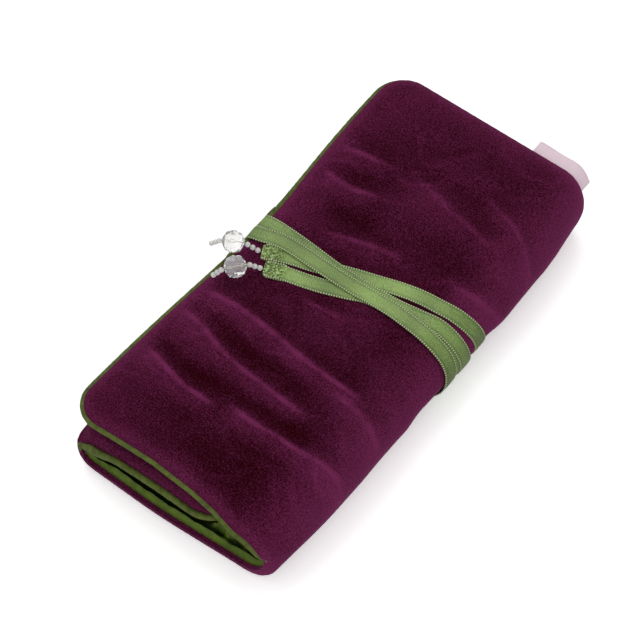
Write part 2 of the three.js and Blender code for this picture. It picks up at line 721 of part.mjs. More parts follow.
// A drop hangs from a ribbon end on a thread that runs through three seed beads, the crystal
// and three more seed beads. The crystal rests on the velvet, and the thread bends at its ends.
function addDrop(name, ribbon, heading) {
  const end = ribbon[ribbon.length - 1].at;
  const velvetZ = (x, y) => waist(x, y, ROLL_HEIGHT - groove(y))[2];
  const away = new THREE.Vector3(Math.cos(heading), Math.sin(heading), 0);
  const pitch = SEED_LENGTH + CLEARANCE;
  const bend = 3 * pitch + CLEARANCE;
  const start = end.clone().addScaledVector(away, 2 * CLEARANCE);
  start.z += RIBBON_THICKNESS / 2 + THREAD_DIAMETER / 2;
  const crystal = start.clone().addScaledVector(away, bend + crystalHalf);
  crystal.z = Math.max(velvetZ(crystal.x, crystal.y), start.z - 1) + CRYSTAL_DIAMETER / 2 + CLEARANCE;
  const rise = crystal.clone().sub(start).normalize();
  const entry = crystal.clone().addScaledVector(away, -crystalHalf - CLEARANCE);
  const exit = crystal.clone().addScaledVector(away, crystalHalf + CLEARANCE);
  const climb = entry.clone().sub(start);
  const step = climb.length() / 3;
  climb.normalize();
  const tail = away.clone().multiplyScalar(0.8);
  tail.z = -0.6;
  const finish = exit.clone().addScaledVector(tail, 3 * pitch);
  const group = new THREE.Group();
  group.userData = { start, rise };
  for (let i = 0; i < 3; i++) {
    const at = start.clone().addScaledVector(climb, step * (i + 0.5));
    addMesh(group, `${name}_seed_${i + 1}`, 'seed', placed(beadGeometry(SEED_OUTLINE, 7), at, climb));
  }
  const gem = beadGeometry(CRYSTAL_OUTLINE, 9);
  addMesh(group, `${name}_crystal`, 'crystal', placed(gem, crystal, away));
  for (let i = 0; i < 3; i++) {
    const at = exit.clone().addScaledVector(tail, pitch * (i + 0.5));
    addMesh(group, `${name}_seed_${i + 4}`, 'seed', placed(beadGeometry(SEED_OUTLINE, 7), at, tail));
  }
  const route = [start, entry, exit, finish];
  const side = new THREE.Vector3(-away.y, away.x, 0);
  const rings = route.map((at, i) => {
    const ahead = route[Math.min(3, i + 1)].clone().sub(route[Math.max(0, i - 1)]).normalize();
    const over = side.clone().cross(ahead).negate();
    return evenStations(0, 2 * Math.PI, 6).slice(0, 6).map((angle) => {
      const p = at.clone();
      p.addScaledVector(side, (Math.cos(angle) * THREAD_DIAMETER) / 2);
      p.addScaledVector(over, (Math.sin(angle) * THREAD_DIAMETER) / 2);
      return p.toArray();
    });
  });
  addMesh(group, `${name}_thread`, 'thread', ringSolid(rings));
  roll.add(group);
}

const centresA = ribbonCentres(RIBBON_A);
const centresB = ribbonCentres(RIBBON_B);
addMesh(roll, 'ribbon_a', 'ribbon', ribbonGeometry(centresA));
addMesh(roll, 'ribbon_b', 'ribbon', ribbonGeometry(centresB));
addDrop('drop_a', centresA, THREE.MathUtils.degToRad(209));
addDrop('drop_b', centresB, THREE.MathUtils.degToRad(231));

// Zipped pocket on the base lining, with its zip beside the right fold.
const zipX = RIGHT_X - ZIP_FROM_FOLD;
const clothLow = PANEL_THICKNESS + CLEARANCE;
const clothTop = clothLow + CLOTH_THICKNESS;
const teethLow = clothTop + CLEARANCE;
const teethTop = teethLow + TEETH_HEIGHT;
const tapeOuter = TAPE_SPLIT / 2 + TAPE_WIDTH;
const tapeEnd = ZIP_HALF_LENGTH + STOP_LENGTH + 2 * CLEARANCE;
const pocketHalf = MAT_HALF - POCKET_MARGIN;
const pocketLeft = LEFT_X + POCKET_SIDE_MARGIN;
const pocketRight = zipX - tapeOuter - CLEARANCE;
addMesh(
  roll,
  'pocket_panel',
  'lining',
  box(pocketLeft, pocketRight, -pocketHalf, pocketHalf, clothLow, clothTop),
);
for (const [name, side] of [['left', -1], ['right', 1]]) {
  const spread = (near, far) => [zipX + side * near, zipX + side * far].sort((a, b) => a - b);
  const tape = spread(TAPE_SPLIT / 2, tapeOuter);
  addMesh(roll, `zip_tape_${name}`, 'zipTape', box(...tape, -tapeEnd, tapeEnd, clothLow, clothTop));
  const teeth = spread(CLEARANCE / 2, CLEARANCE / 2 + TEETH_WIDTH);
  const run = ZIP_HALF_LENGTH;
  addMesh(roll, `zip_teeth_${name}`, 'zipMetal', box(...teeth, -run, run, teethLow, teethTop));
}
const stopHalf = CLEARANCE / 2 + TEETH_WIDTH;
for (const [name, side] of [['near', -1], ['far', 1]]) {
  const inner = side * (ZIP_HALF_LENGTH + CLEARANCE);
  const outer = side * (ZIP_HALF_LENGTH + CLEARANCE + STOP_LENGTH);
  const ends = [inner, outer].sort((a, b) => a - b);
  addMesh(roll, `zip_stop_${name}`, 'zipMetal', box(zipX - stopHalf, zipX + stopHalf, ...ends, teethLow, teethTop));
}

// Slider at the near end of its travel: a saddle over the teeth with two lugs and a cross pin.
const sliderY = -ZIP_HALF_LENGTH + SLIDER_LENGTH / 2;
const channelHalf = stopHalf + CLEARANCE;
const channelTop = teethTop + CLEARANCE;
const sliderHalf = channelHalf + SLIDER_WALL;
const sliderTop = channelTop + SLIDER_WALL;
const pinZ = sliderTop + EYE_RADIUS + CLEARANCE;
const sliderFront = sliderY - SLIDER_LENGTH / 2;
const sliderBack = sliderY + SLIDER_LENGTH / 2;
let slider = toSolid(box(zipX - sliderHalf, zipX + sliderHalf, sliderFront, sliderBack, teethLow, sliderTop));
const channel = box(zipX - channelHalf, zipX + channelHalf, sliderFront - 1, sliderBack + 1, teethLow - 1, channelTop);
slider = slider.subtract(toSolid(channel));
const lugInner = EYE_WIDTH / 2 + CLEARANCE;
const lugOuter = lugInner + LUG_WIDTH;
const lugReach = PIN_RADIUS + 0.5;
for (const side of [-1, 1]) {
  const [x0, x1] = [zipX + side * lugInner, zipX + side * lugOuter].sort((a, b) => a - b);
  const lug = box(x0, x1, sliderY - lugReach, sliderY + lugReach, sliderTop - SLIDER_WALL / 2, pinZ + lugReach);
  slider = slider.add(toSolid(lug));
}
const pinHalf = lugInner + LUG_WIDTH / 2;
slider = slider.add(toSolid(rodAlongX(PIN_RADIUS, zipX - pinHalf, zipX + pinHalf, sliderY, pinZ, 16)));
addMesh(roll, 'zip_slider', 'zipMetal', fromSolid(slider));

// Pull: an eye round the pin, a neck between the lugs and a tab lying towards the near end.
const neck = sliderY - lugReach * Math.SQRT2 - CLEARANCE;
const tabEnd = sliderY - PULL_LENGTH;
const eyeLeft = zipX - EYE_WIDTH / 2;
const eyeRight = zipX + EYE_WIDTH / 2;
const pullLow = pinZ - PULL_THICKNESS / 2;
const pullTop = pinZ + PULL_THICKNESS / 2;
let pull = toSolid(rodAlongX(EYE_RADIUS, eyeLeft, eyeRight, sliderY, pinZ, 16));
pull = pull.add(toSolid(box(eyeLeft, eyeRight, neck - 1, sliderY, pullLow, pullTop)));
pull = pull.add(toSolid(box(zipX - PULL_WIDTH / 2, zipX + PULL_WIDTH / 2, tabEnd, neck, pullLow, pullTop)));
const eyeBore = PIN_RADIUS + PIN_CLEARANCE;
pull = pull.subtract(toSolid(rodAlongX(eyeBore, eyeLeft - 1, eyeRight + 1, sliderY, pinZ, 16)));
addMesh(roll, 'zip_pull', 'zipMetal', fromSolid(pull));

// Slip pocket sewn flat on the top flap's lining, following the lining's own stations.
const slipEnds = [SLIP_POCKET_START, SLIP_POCKET_START + SLIP_POCKET_DEPTH];
const slipHalf = MAT_HALF - POCKET_MARGIN;
const within = (values, [low, high]) => [low, ...values.filter((v) => v > low + 1 && v < high - 1), high];
const slipAt = (depth) => (s, y) => {
  const [x, z] = TOP_FLAP.place(s, depth);
  return waist(x, y, z);
};
const slipStations = within(TOP_FLAP.stations, slipEnds);
const slipLengths = within(LENGTH_STATIONS.map((share) => share * MAT_HALF), [-slipHalf, slipHalf]);
const slipNear = PANEL_THICKNESS + CLEARANCE;
addMesh(
  roll,
  'top_flap_pocket',
  'lining',
  gridSolid(slipStations, slipLengths, slipAt(slipNear), slipAt(slipNear + CLOTH_THICKNESS)),
);

// The origin is under the middle of the whole roll.
const part = new THREE.Group();
part.add(roll);
const extent = new THREE.Box3().setFromObject(roll);
const middle = extent.getCenter(new THREE.Vector3());
roll.position.set(-middle.x, -middle.y, -extent.min.z);

export default part;
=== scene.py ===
"""Looks of a padded velvet jewellery roll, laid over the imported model's frame.

The mat is one quilted strip in five segments: inner flap, left fold, base, right fold, top flap.
Every soft piece is worked out with numpy in the mat's own coordinates, s across the strip,
y along the roll and n the depth below the velvet face, in millimetres, and then folded up.
"""

import math

import bpy
import numpy as np
from bpy.props import FloatProperty, FloatVectorProperty, PointerProperty
from mathutils import Matrix, Vector


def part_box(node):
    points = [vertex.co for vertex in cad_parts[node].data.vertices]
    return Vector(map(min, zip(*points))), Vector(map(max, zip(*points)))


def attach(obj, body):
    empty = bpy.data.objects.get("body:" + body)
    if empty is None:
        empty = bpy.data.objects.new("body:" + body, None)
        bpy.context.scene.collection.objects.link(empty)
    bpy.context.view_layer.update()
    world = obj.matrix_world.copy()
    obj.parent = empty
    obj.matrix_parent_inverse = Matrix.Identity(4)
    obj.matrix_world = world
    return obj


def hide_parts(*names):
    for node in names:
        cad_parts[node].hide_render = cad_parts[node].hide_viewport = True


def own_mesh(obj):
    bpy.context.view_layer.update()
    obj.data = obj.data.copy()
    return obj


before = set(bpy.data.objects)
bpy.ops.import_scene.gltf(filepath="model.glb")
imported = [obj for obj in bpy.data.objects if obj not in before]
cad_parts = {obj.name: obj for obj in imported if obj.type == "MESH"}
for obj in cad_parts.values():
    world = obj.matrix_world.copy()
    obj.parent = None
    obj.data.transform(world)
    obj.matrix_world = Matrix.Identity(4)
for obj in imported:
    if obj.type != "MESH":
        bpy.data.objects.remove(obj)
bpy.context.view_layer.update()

bl_info = {
    "name": "Jewellery Roll",
    "version": (1, 0, 0),
    "blender": (4, 5, 0),
    "location": "View3D > Sidebar > Roll",
    "description": "Velvet, satin, ribbons and bead drops of a padded jewellery roll",
    "category": "Object",
}

# Sizes in millimetres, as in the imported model. The far draw and the tie's push are fitted to the photo here.
MM = 0.001
ROLL_LENGTH = 220.0
ROLL_WIDTH = 107.0
FLAP_OVERHANG = 2.5
INNER_FLAP_REACH = 64.6
PANEL_THICKNESS = 8.2
POCKET_SPACE = 6.0
FLAP_SPACE = 5.4
CORNER_RADIUS = 12.0
PIPING_RADIUS = 1.4
CLEARANCE = 0.3
TIE_Y = 9.5
TIE_HALF_WIDTH = 21.0
GROOVE_DEPTH = 1.6
GROOVE_SHOULDER = 15.0
WAIST_DROP = 4.5
WAIST_DRAW = 3.0
WAIST_SPREAD = 50.0
WAIST_DRAW_SPREAD = 75.0
WAIST_DRAW_START = -12.0
WAIST_DRAW_RUN = 40.0
SETTLE_DROP = 4.5
SETTLE_LENGTH = 42.0
SETTLE_SPAN = 36.0
FAR_DRAW = 3.6
FAR_DRAW_LENGTH = 38.0
FAR_DRAW_SPAN = 20.0
NEAR_DRAW = 2.5
NEAR_DRAW_LENGTH = 36.0
NEAR_SKEW = 3.2
NEAR_SKEW_START = -15.0
NEAR_SKEW_RUN = 65.0
TIE_PUSH = 1.5
TIE_PUSH_SPREAD = 30.0
RIBBON_PITCH = 0.55
LABEL_FLAT = 16.0
LABEL_LENGTH = 31.0
LABEL_REACH = 6.2
CLOTH_THICKNESS = 0.6
ZIP_FROM_FOLD = 5.3
SLIDER_Y = -90.0
SLIP_POCKET_START = 20.0
SLIP_POCKET_DEPTH = 50.0
POCKET_MARGIN = 10.0

ROLL_HEIGHT = 3 * PANEL_THICKNESS + POCKET_SPACE + FLAP_SPACE
RIGHT_RADIUS = ROLL_HEIGHT / 2
LEFT_RADIUS = PANEL_THICKNESS + POCKET_SPACE / 2
RIGHT_X = ROLL_WIDTH / 2 - RIGHT_RADIUS
LEFT_X = -ROLL_WIDTH / 2 + FLAP_OVERHANG + LEFT_RADIUS
PIPING_SPAN = 2 * PIPING_RADIUS + CLEARANCE
PIPING_OFFSET = PIPING_RADIUS + CLEARANCE
MAT_HALF = ROLL_LENGTH / 2 - PIPING_SPAN
TOP_REACH = RIGHT_X + ROLL_WIDTH / 2 - PIPING_SPAN
INNER_REACH = INNER_FLAP_REACH - PIPING_SPAN
SEAM = PANEL_THICKNESS / 2
ZIP_X = RIGHT_X - ZIP_FROM_FOLD

# Sizes that only the looks have: pads, ribbons, label, zip teeth and threads.
PAD_SWELL = 0.3
TIGHT_ROLL = 3.2
LINING_ROLL = 2.4
SLOT_DEPTH = 3.6
RIBBON_STEP = 0.7
RIBBON_OVER_SEAM = 1.425
LABEL_HALF_THICKNESS = 0.34
TOOTH_PITCH = 2.0
TOOTH_HALF = 0.62
TOOTH_STAGGER = 0.25
THREAD_RADIUS = 0.17

# How far a cloth runs past the seam's outline: under the piping so that no slit shows, the lining towards
# its middle, and the velvet level with it where the padding bulges at the ends, past it below the near slit.
# LIP is the velvet's lap over the near piping. The last two are the runs past a flap's free edge.
TUCKED = 0.9
LINED = 2.0
COVERED = 1.9
BULGED = 3.1
SPILLED = 4.2
LIP = 1.6
COVERED_FREE = 1.6
LINED_FREE = 1.2

# The camera's aim from the roll's middle and its tilt, fitted to the photo, the lamps and floor, in metres.
AIM_HEIGHT, AIM_LEFT, AIM_UP = 0.01339, 0.0076, 0.00115
TILT = math.radians(-0.2)
KEY_AT, FILL_AT, LAMP_SIZE = (-0.55, 0.45, 0.95), (0.5, -0.7, 0.6), 1.0
FLOOR_REACH = 3.0
SEEN_WHITE, SEEN_GLOW = 1.45, 0.2

# Clearness of the glass, and one turn of a wave.
CRYSTAL_CLEAR, SEED_CLEAR = 0.8, 0.4
TURN = 6.2832

# The near end gapes a little: how far the top flap's edge lies back at each X, above a level; how far the
# inner flap lifts in its middle, between two levels; and how far the left fold's upper seam sags.
MOUTH_LENGTH = 30.0
MOUTH_LEVEL, MOUTH_EASE = 22.0, 6.0
MOUTH_X = (-52, -42, -32, -21, -10, 0, 10, 21, 27, 33, 42, 53)
MOUTH_BACK = (1.5, 2.1, 2.9, 3.6, 4.1, 3.2, 2.5, 1.0, -0.5, -1.9, -2.6, -2.6)
LIFT, LIFT_X, LIFT_SPREAD = 3.2, -8.0, 19.0
LIFT_FROM, LIFT_EASE, LIFT_TO, LIFT_FALL = 11.0, 4.0, 23.0, 3.0
SAG, SAG_LENGTH, SAG_LEVEL, SAG_SPREAD = 4.5, 14.0, 17.5, 3.5
SAG_X, SAG_EASE = -40.0, 14.0


def roll_shift():
    """Millimetres from the shared frame's origin to the roll's own middle, read off the zip slider."""
    low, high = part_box("zip_slider")
    middle = (low + high) / 2 / MM
    return np.array([middle.x - ZIP_X, middle.y - SLIDER_Y, 0.0])


SHIFT = roll_shift()


def colour(red, green, blue):
    """Linear colour of 0 to 255 display values."""
    share = np.array([red, green, blue]) / 255
    linear = np.where(share <= 0.04045, share / 12.92, ((share + 0.055) / 1.055) ** 2.4)
    return tuple(float(x) for x in linear)


def shaded(tinted, share):
    return tuple(c * share for c in tinted)


def length(name, description, default):
    return FloatProperty(name=name, description=description, default=default, unit="LENGTH", precision=5)


def angle(name, description, degrees):
    return FloatProperty(name=name, description=description, default=math.radians(degrees), subtype="ANGLE")


def power(name, description, default):
    return FloatProperty(name=name, description=description, default=default, unit="POWER")


def tint(name, description, default):
    return FloatVectorProperty(
        name=name, description=description, default=default, subtype="COLOR", min=0, max=1
    )


class RollCloth(bpy.types.PropertyGroup):
    """Padded velvet and satin."""

    wrinkle: length("Wrinkle", "Height of the pulled creases across the velvet", 0.0009)
    edge_roll: length("Edge Roll", "Width of the border where the velvet rolls down to the piping", 0.008)
    end_swell: length("End Swell", "How far the lining swells into the slit at each end", 0.0016)
    # Ends of the velvet's tone: Velvet Deep takes its dark grain and the painted shade behind crests and in
    # valleys, Velvet Bright its light grain and the painted highlight on crests, border and right fold.
    velvet_deep: tint("Velvet Deep", "Velvet seen into its pile", colour(38, 0, 2))
    velvet_bright: tint("Velvet Bright", "Velvet along the lie of its pile", colour(116, 42, 84))
    # Ends of the lining's tone: Lining Deep takes the painted shade in its bumped folds and end hollows,
    # Lining Bright the painted highlight on the folds' ridges, over an uneven weave.
    lining_deep: tint("Lining Deep", "Satin lining in its folds", colour(28, 39, 7))
    lining_bright: tint("Lining Bright", "Satin lining on its ridges", colour(108, 132, 46))
    piping: tint("Piping", "Satin round the piping cord", colour(96, 108, 46))


class RollTrim(bpy.types.PropertyGroup):
    """Ribbons, label and zip."""

    ribbon_width: length("Ribbon Width", "Width of the tie ribbon", 0.007)
    ribbon_thickness: length("Ribbon Thickness", "Thickness of the tie ribbon", 0.0004)
    hem: length("Hem", "Length of the gathered hem at a ribbon's end", 0.009)
    picot: length("Picot", "Pitch of the loops along a ribbon's edges", 0.0011)
    ribbon: tint("Ribbon", "Satin ribbon", colour(124, 149, 82))
    picot_tint: tint("Picot Tint", "Loops along the ribbon's edges", colour(205, 218, 168))
    label: tint("Label", "Woven label", colour(246, 222, 232))
    zip_tape: tint("Zip Tape", "Woven zip tape", colour(88, 108, 50))
    zip_metal: tint("Zip Metal", "Zip teeth, slider and pull", colour(196, 176, 122))


class RollBeads(bpy.types.PropertyGroup):
    """Bead drops."""

    crystal: length("Crystal", "Diameter of a faceted bead", 0.010)
    seed: length("Seed", "Diameter of a seed bead", 0.0023)
    seed_length: length("Seed Length", "Length of a seed bead along its thread", 0.0018)
    crystal_tint: tint("Crystal Tint", "Glass of the faceted beads", (1.0, 0.99, 0.99))
    seed_tint: tint("Seed Tint", "Glass of the seed beads", (1.0, 0.99, 0.98))


class RollStage(bpy.types.PropertyGroup):
    """Camera, light and floor."""

    azimuth: angle("Azimuth", "Camera's turn round the roll", 38.1)
    elevation: angle("Elevation", "Camera's height over the floor", 57.2)
    distance: length("Distance", "Camera's distance from the roll's middle", 0.9128)
    lens: FloatProperty(name="Lens", description="Focal length in millimetres", default=123.75, unit="CAMERA")
    key: power("Key", "Power of the large soft lamp", 3.4)
    fill: power("Fill", "Power of the lamp on the other side", 2.4)
    ambient: FloatProperty(name="Ambient", description="Light from all round", default=0.69)
    floor: tint("Floor", "Pale floor", (0.86, 0.86, 0.86))


class RollSettings(bpy.types.PropertyGroup):
    """All that a user would change."""

    cloth: PointerProperty(type=RollCloth)
    trim: PointerProperty(type=RollTrim)
    beads: PointerProperty(type=RollBeads)
    stage: PointerProperty(type=RollStage)


# ---------------------------------------------------------------- shaders


class Wire:
    """A socket in a paint's nodes; arithmetic on it adds Math nodes."""

    def __init__(self, paint, socket):
        self.paint, self.socket = paint, socket

    def maths(self, operation, *values):
        return self.paint.node("ShaderNodeMath", {"operation": operation}, dict(enumerate(values)))

    def __add__(self, other):
        return self.maths("ADD", self, other)

    def __radd__(self, other):
        return self.maths("ADD", other, self)

    def __sub__(self, other):
        return self.maths("SUBTRACT", self, other)

    def __rsub__(self, other):
        return self.maths("SUBTRACT", other, self)

    def __mul__(self, other):
        return self.maths("MULTIPLY", self, other)

    def __abs__(self):
        return self.maths("ABSOLUTE", self)

    def greater(self, other):
        return self.maths("MAXIMUM", self, other)

    def wave(self):
        """Sine, brought to 0..1."""
        return self.maths("SINE", self) * 0.5 + 0.5

    def over(self, low, high):
        """0 below low, 1 above high, smooth between."""
        return self.paint.node(
            "ShaderNodeMapRange",
            {"interpolation_type": "SMOOTHSTEP"},
            {"Value": self, "From Min": low, "From Max": high},
        )


class Paint:
    """A material or world, and the method that adds each of its nodes."""

    def __init__(self, name, kept_in="materials"):
        self.owner = getattr(bpy.data, kept_in).new(name)
        self.owner.use_nodes = True
        self.tree = self.owner.node_tree
        self.tree.nodes.clear()

    def node(self, kind, settings=None, inputs=None, output=0):
        made = self.tree.nodes.new(kind)
        for key, value in (settings or {}).items():
            setattr(made, key, value)
        for key, value in (inputs or {}).items():
            if isinstance(value, Wire):
                self.tree.links.new(value.socket, made.inputs[key])
            else:
                made.inputs[key].default_value = value
        return Wire(self, made.outputs[output])

    def noise(self, scale, detail, stretch=None):
        """Noise over the object's own coordinates, drawn out along an axis by a stretch below 1."""
        place = self.node("ShaderNodeTexCoord", output="Object")
        if stretch:
            place = self.node("ShaderNodeMapping", None, {"Vector": place, "Scale": stretch})
        return self.node("ShaderNodeTexNoise", None, {"Vector": place, "Scale": scale, "Detail": detail})

    def ray(self, kind):
        return self.node("ShaderNodeLightPath", output=f"Is {kind} Ray")

    def value(self, name):
        return self.node("ShaderNodeAttribute", {"attribute_name": name}, output="Fac")

    def along_and_across(self):
        """The piece's own map: millimetres along, and -1 to 1 across or turns round."""
        uv = self.node("ShaderNodeUVMap", {"uv_map": "run"})
        parts = self.node("ShaderNodeSeparateXYZ", None, {0: uv})
        return parts, Wire(self, parts.socket.node.outputs[1])

    def blend(self, low, high, share):
        low, high = [c if isinstance(c, Wire) else (*c, 1.0) for c in (low, high)]
        return self.node("ShaderNodeMix", {"data_type": "RGBA"}, {0: share, 6: low, 7: high}, 2)

    def bump(self, height, distance, strength=1.0):
        return self.node(
            "ShaderNodeBump", None, {"Height": height, "Distance": distance, "Strength": strength}
        )

    def surface(self, **sockets):
        inputs = {key.replace("_", " "): value for key, value in sockets.items()}
        inputs = {key: (*v, 1.0) if isinstance(v, tuple) and len(v) == 3 else v for key, v in inputs.items()}
        self.finish(self.node("ShaderNodeBsdfPrincipled", None, inputs))
        return self.owner

    def finish(self, shader, kind="ShaderNodeOutputMaterial"):
        self.tree.links.new(shader.socket, self.tree.nodes.new(kind).inputs["Surface"])


def velvet_paint(cloth):
    """Plum velvet: painted highlight on its crests, border and right fold and painted shade beside the crests,
    read from the mesh, with blotches, short fibres and a soft sheen.
    """
    p = Paint("plum_velvet")
    # Tone with painted light from the mesh: higher is painted highlight, lower is painted shade.
    painted_light_and_tone = p.value("pile")
    broad = p.noise(45, 3)
    grain = p.noise(1450, 1)
    fibre = p.noise(3000, 1)
    tone = painted_light_and_tone + (broad - 0.5) * 0.35 + (grain - 0.5) * 1.1 + (fibre - 0.5) * 1.7
    shade = p.blend(cloth.velvet_deep, cloth.velvet_bright, tone.over(-0.2, 1.2))
    speck = p.blend(shade, cloth.velvet_bright, fibre.over(0.62, 0.8) * 0.3)
    return p.surface(
        Base_Color=speck,
        Roughness=0.95,
        Specular_IOR_Level=0.02,
        Sheen_Weight=0.3,
        Sheen_Roughness=0.3,
        Sheen_Tint=(0.72, 0.22, 0.5),
        Normal=p.bump(grain * 0.6 + fibre * 0.5, 0.0005, 0.55),
    )


def lining_paint(cloth):
    """Green satin: soft folds, with painted shade in them and painted highlight on their ridges, painted shade
    in the hollows at its ends, a fine cross weave and a silky gloss.
    """
    p = Paint("green_satin")
    fold = p.noise(120, 3, (1.0, 0.45, 1.0))
    fine = p.noise(500, 2)
    warp = p.noise(4200, 1, (1.0, 0.06, 1.0))
    weft = p.noise(4200, 1, (0.06, 1.0, 1.0))
    # The folds' noise both bumps and tones the satin, so its valleys carry painted shade and its ridges
    # painted highlight; the hollow value is painted shade.
    tone = (fold - 0.5) * 0.55 + (fine - 0.5) * 0.3 + (warp - 0.5) * 0.3 + 0.55 + p.value("hollow") * 0.8
    return p.surface(
        Base_Color=p.blend(cloth.lining_deep, cloth.lining_bright, tone.over(0.0, 1.0)),
        Roughness=0.5 - (fold - 0.5) * 0.25,
        Specular_IOR_Level=0.18,
        Normal=p.bump(fold * 2.6 + (warp + weft) * 0.12 + fine * 0.3, 0.0006, 0.6),
    )


def piping_paint(cloth):
    """Bias satin drawn round a cord: slanting puckers and a fine slanting twill."""
    p = Paint("piping_satin")
    along, around = p.along_and_across()
    mottle = p.noise(260, 3)
    twill = (along * 7.5 + around * TURN + mottle * 3).wave()
    pucker = (along * 1.9 + around * TURN + mottle * 5).wave()
    # Darker in the troughs of the puckers, as painted shade, over the twill and an uneven mottle.
    tone = twill * 0.12 + pucker * 0.12 + (mottle - 0.5) * 0.8 + 0.5
    return p.surface(
        Base_Color=p.blend(cloth.lining_deep, cloth.piping, tone.over(0.0, 0.9)),
        Roughness=0.5,
        Specular_IOR_Level=0.15,
        Normal=p.bump(twill * 0.25 + pucker * 0.6, 0.0003, 0.5),
    )


def ribbon_paint(trim):
    """Satin ribbon: long threads, a fine glinting grain, painted gloss in soft patches, painted light that is
    lighter where it faces up and in a band over the top and painted shade where it turns over the fold,
    painted shade towards its edges and along them between the picot loops at both edges, a stitched hem with
    painted glints and painted shade in its crumples."""
    p = Paint("ribbon_satin")
    along, across = p.along_and_across()
    hem = p.value("hem")
    facing = p.value("facing")
    side = abs(across)
    flow = p.noise(45, 1)
    glint = p.noise(2700, 1)
    crumple = p.noise(1000, 3)
    thread = (across * 46 + flow * 4).wave()
    loops = (along * (TURN * MM / trim.picot)).wave()
    border = side.over(0.80, 0.88)
    stitch = side.over(0.66, 0.7) * (1 - side.over(0.72, 0.76))
    dots = border * loops.over(0.25, 0.6)
    # Painted gloss in soft patches, a fine glinting grain and the threads.
    tone = (flow - 0.5) * 0.8 + (glint - 0.5) * 1.1 + (thread - 0.5) * 0.12
    # Painted shade and painted glints in the hem's crumples, painted light from the mesh, painted shade
    # towards the edges.
    tone = tone + (crumple - 0.53) * hem * 3.9 + facing - side.over(0.35, 1.0) * 0.22
    deep = shaded(trim.ribbon, 0.4)
    bright = tuple(min(1.0, c * 1.75) for c in trim.ribbon)
    satin = p.blend(deep, bright, tone.over(0.0, 1.0))
    # Stitch lines, and painted shadow along the edges between the picot loops.
    sewn = p.blend(satin, deep, stitch * 0.3 + border * (1 - loops) * 0.9)
    # Picot loops, and painted glints on the crumpled hem.
    picots_and_hem_glints = dots * 0.75 + hem * crumple.over(0.54, 0.7) * 0.6
    return p.surface(
        Base_Color=p.blend(sewn, trim.picot_tint, picots_and_hem_glints),
        Roughness=0.42 + border * 0.25 + hem * 0.15,
        Specular_IOR_Level=0.3,
        Normal=p.bump(dots * 1.0 + thread * 0.08 + crumple * hem * 4.0 + flow * 0.8, 0.00025, 0.6),
    )


def label_paint(trim):
    """Woven label: fine ribs across and along, a bound selvedge, uneven tone, darker and raised at both ends
    across, the sewn end and the fold.
    """
    p = Paint("label_weave")
    along, across = p.along_and_across()
    rib = (along * 14).wave() * 0.6 + (across * 60).wave() * 0.4
    soft = p.noise(180, 3)
    edge = abs(across).over(0.82, 0.95)
    deep = shaded(trim.label, 0.84)
    tone = rib * 0.25 + (soft - 0.5) * 0.5 + 0.55 - edge * 0.25
    return p.surface(
        Base_Color=p.blend(deep, trim.label, tone.over(0.0, 0.9)),
        Roughness=0.72,
        Sheen_Weight=0.2,
        Normal=p.bump(rib + edge * 2, 0.00012, 0.6),
    )


def tape_paint(trim):
    """Herringbone zip tape."""
    p = Paint("zip_tape_twill")
    along, across = p.along_and_across()
    slant = (along * 9 + abs(across) * 12).wave()
    soft = p.noise(400, 2)
    deep = shaded(trim.zip_tape, 0.55)
    return p.surface(
        Base_Color=p.blend(deep, trim.zip_tape, (slant * 0.6 + soft * 0.6).over(0.1, 1.0)),
        Roughness=0.85,
        Sheen_Weight=0.2,
        Normal=p.bump(slant, 0.00012, 0.7),
    )


def metal_paint(trim):
    """Brushed brass of the zip, a little dull in patches."""
    p = Paint("zip_brass")
    brush = p.noise(2600, 2, (1.0, 0.08, 1.0))
    dull = p.noise(420, 3)
    deep = shaded(trim.zip_metal, 0.7)
    return p.surface(
        Base_Color=p.blend(trim.zip_metal, deep, dull.over(0.45, 0.75)),
        Metallic=1.0,
        Roughness=0.24 + dull * 0.2 + brush * 0.1,
        Normal=p.bump(brush, 0.00005, 0.4),
    )


def glass_paint(name, tinted, roughness, clear):
    """Glass with the faintest smear on its faces, milky where it is less than clear."""
    p = Paint(name)
    smear = p.noise(700, 2)
    faint = shaded(tinted, 0.93)
    return p.surface(
        Base_Color=p.blend(faint, tinted, smear.over(0.3, 0.6)),
        Roughness=roughness + smear * 0.03,
        Transmission_Weight=clear,
        IOR=1.52,
    )


def thread_paint():
    """Twisted beading thread."""
    p = Paint("beading_thread")
    along, around = p.along_and_across()
    ply = (along * 9 + around * TURN).wave()
    return p.surface(
        Base_Color=p.blend(colour(190, 196, 168), colour(236, 238, 222), ply),
        Roughness=0.7,
        Normal=p.bump(ply, 0.0001, 0.5),
    )


# ---------------------------------------------------------------- shapes


def mix(low, high, share):
    return low + (high - low) * share


def smooth(share):
    """Cubic ease from 0 to 1."""
    t = np.clip(share, 0.0, 1.0)
    return t * t * (3 - 2 * t)


def hump(distance, width):
    """Bell of unit height."""
    return np.exp(-((distance / width) ** 2))


def arch(share):
    """Quarter circle from 0 up to 1."""
    return np.sqrt(1 - (1 - np.clip(share, 0, 1)) ** 2)


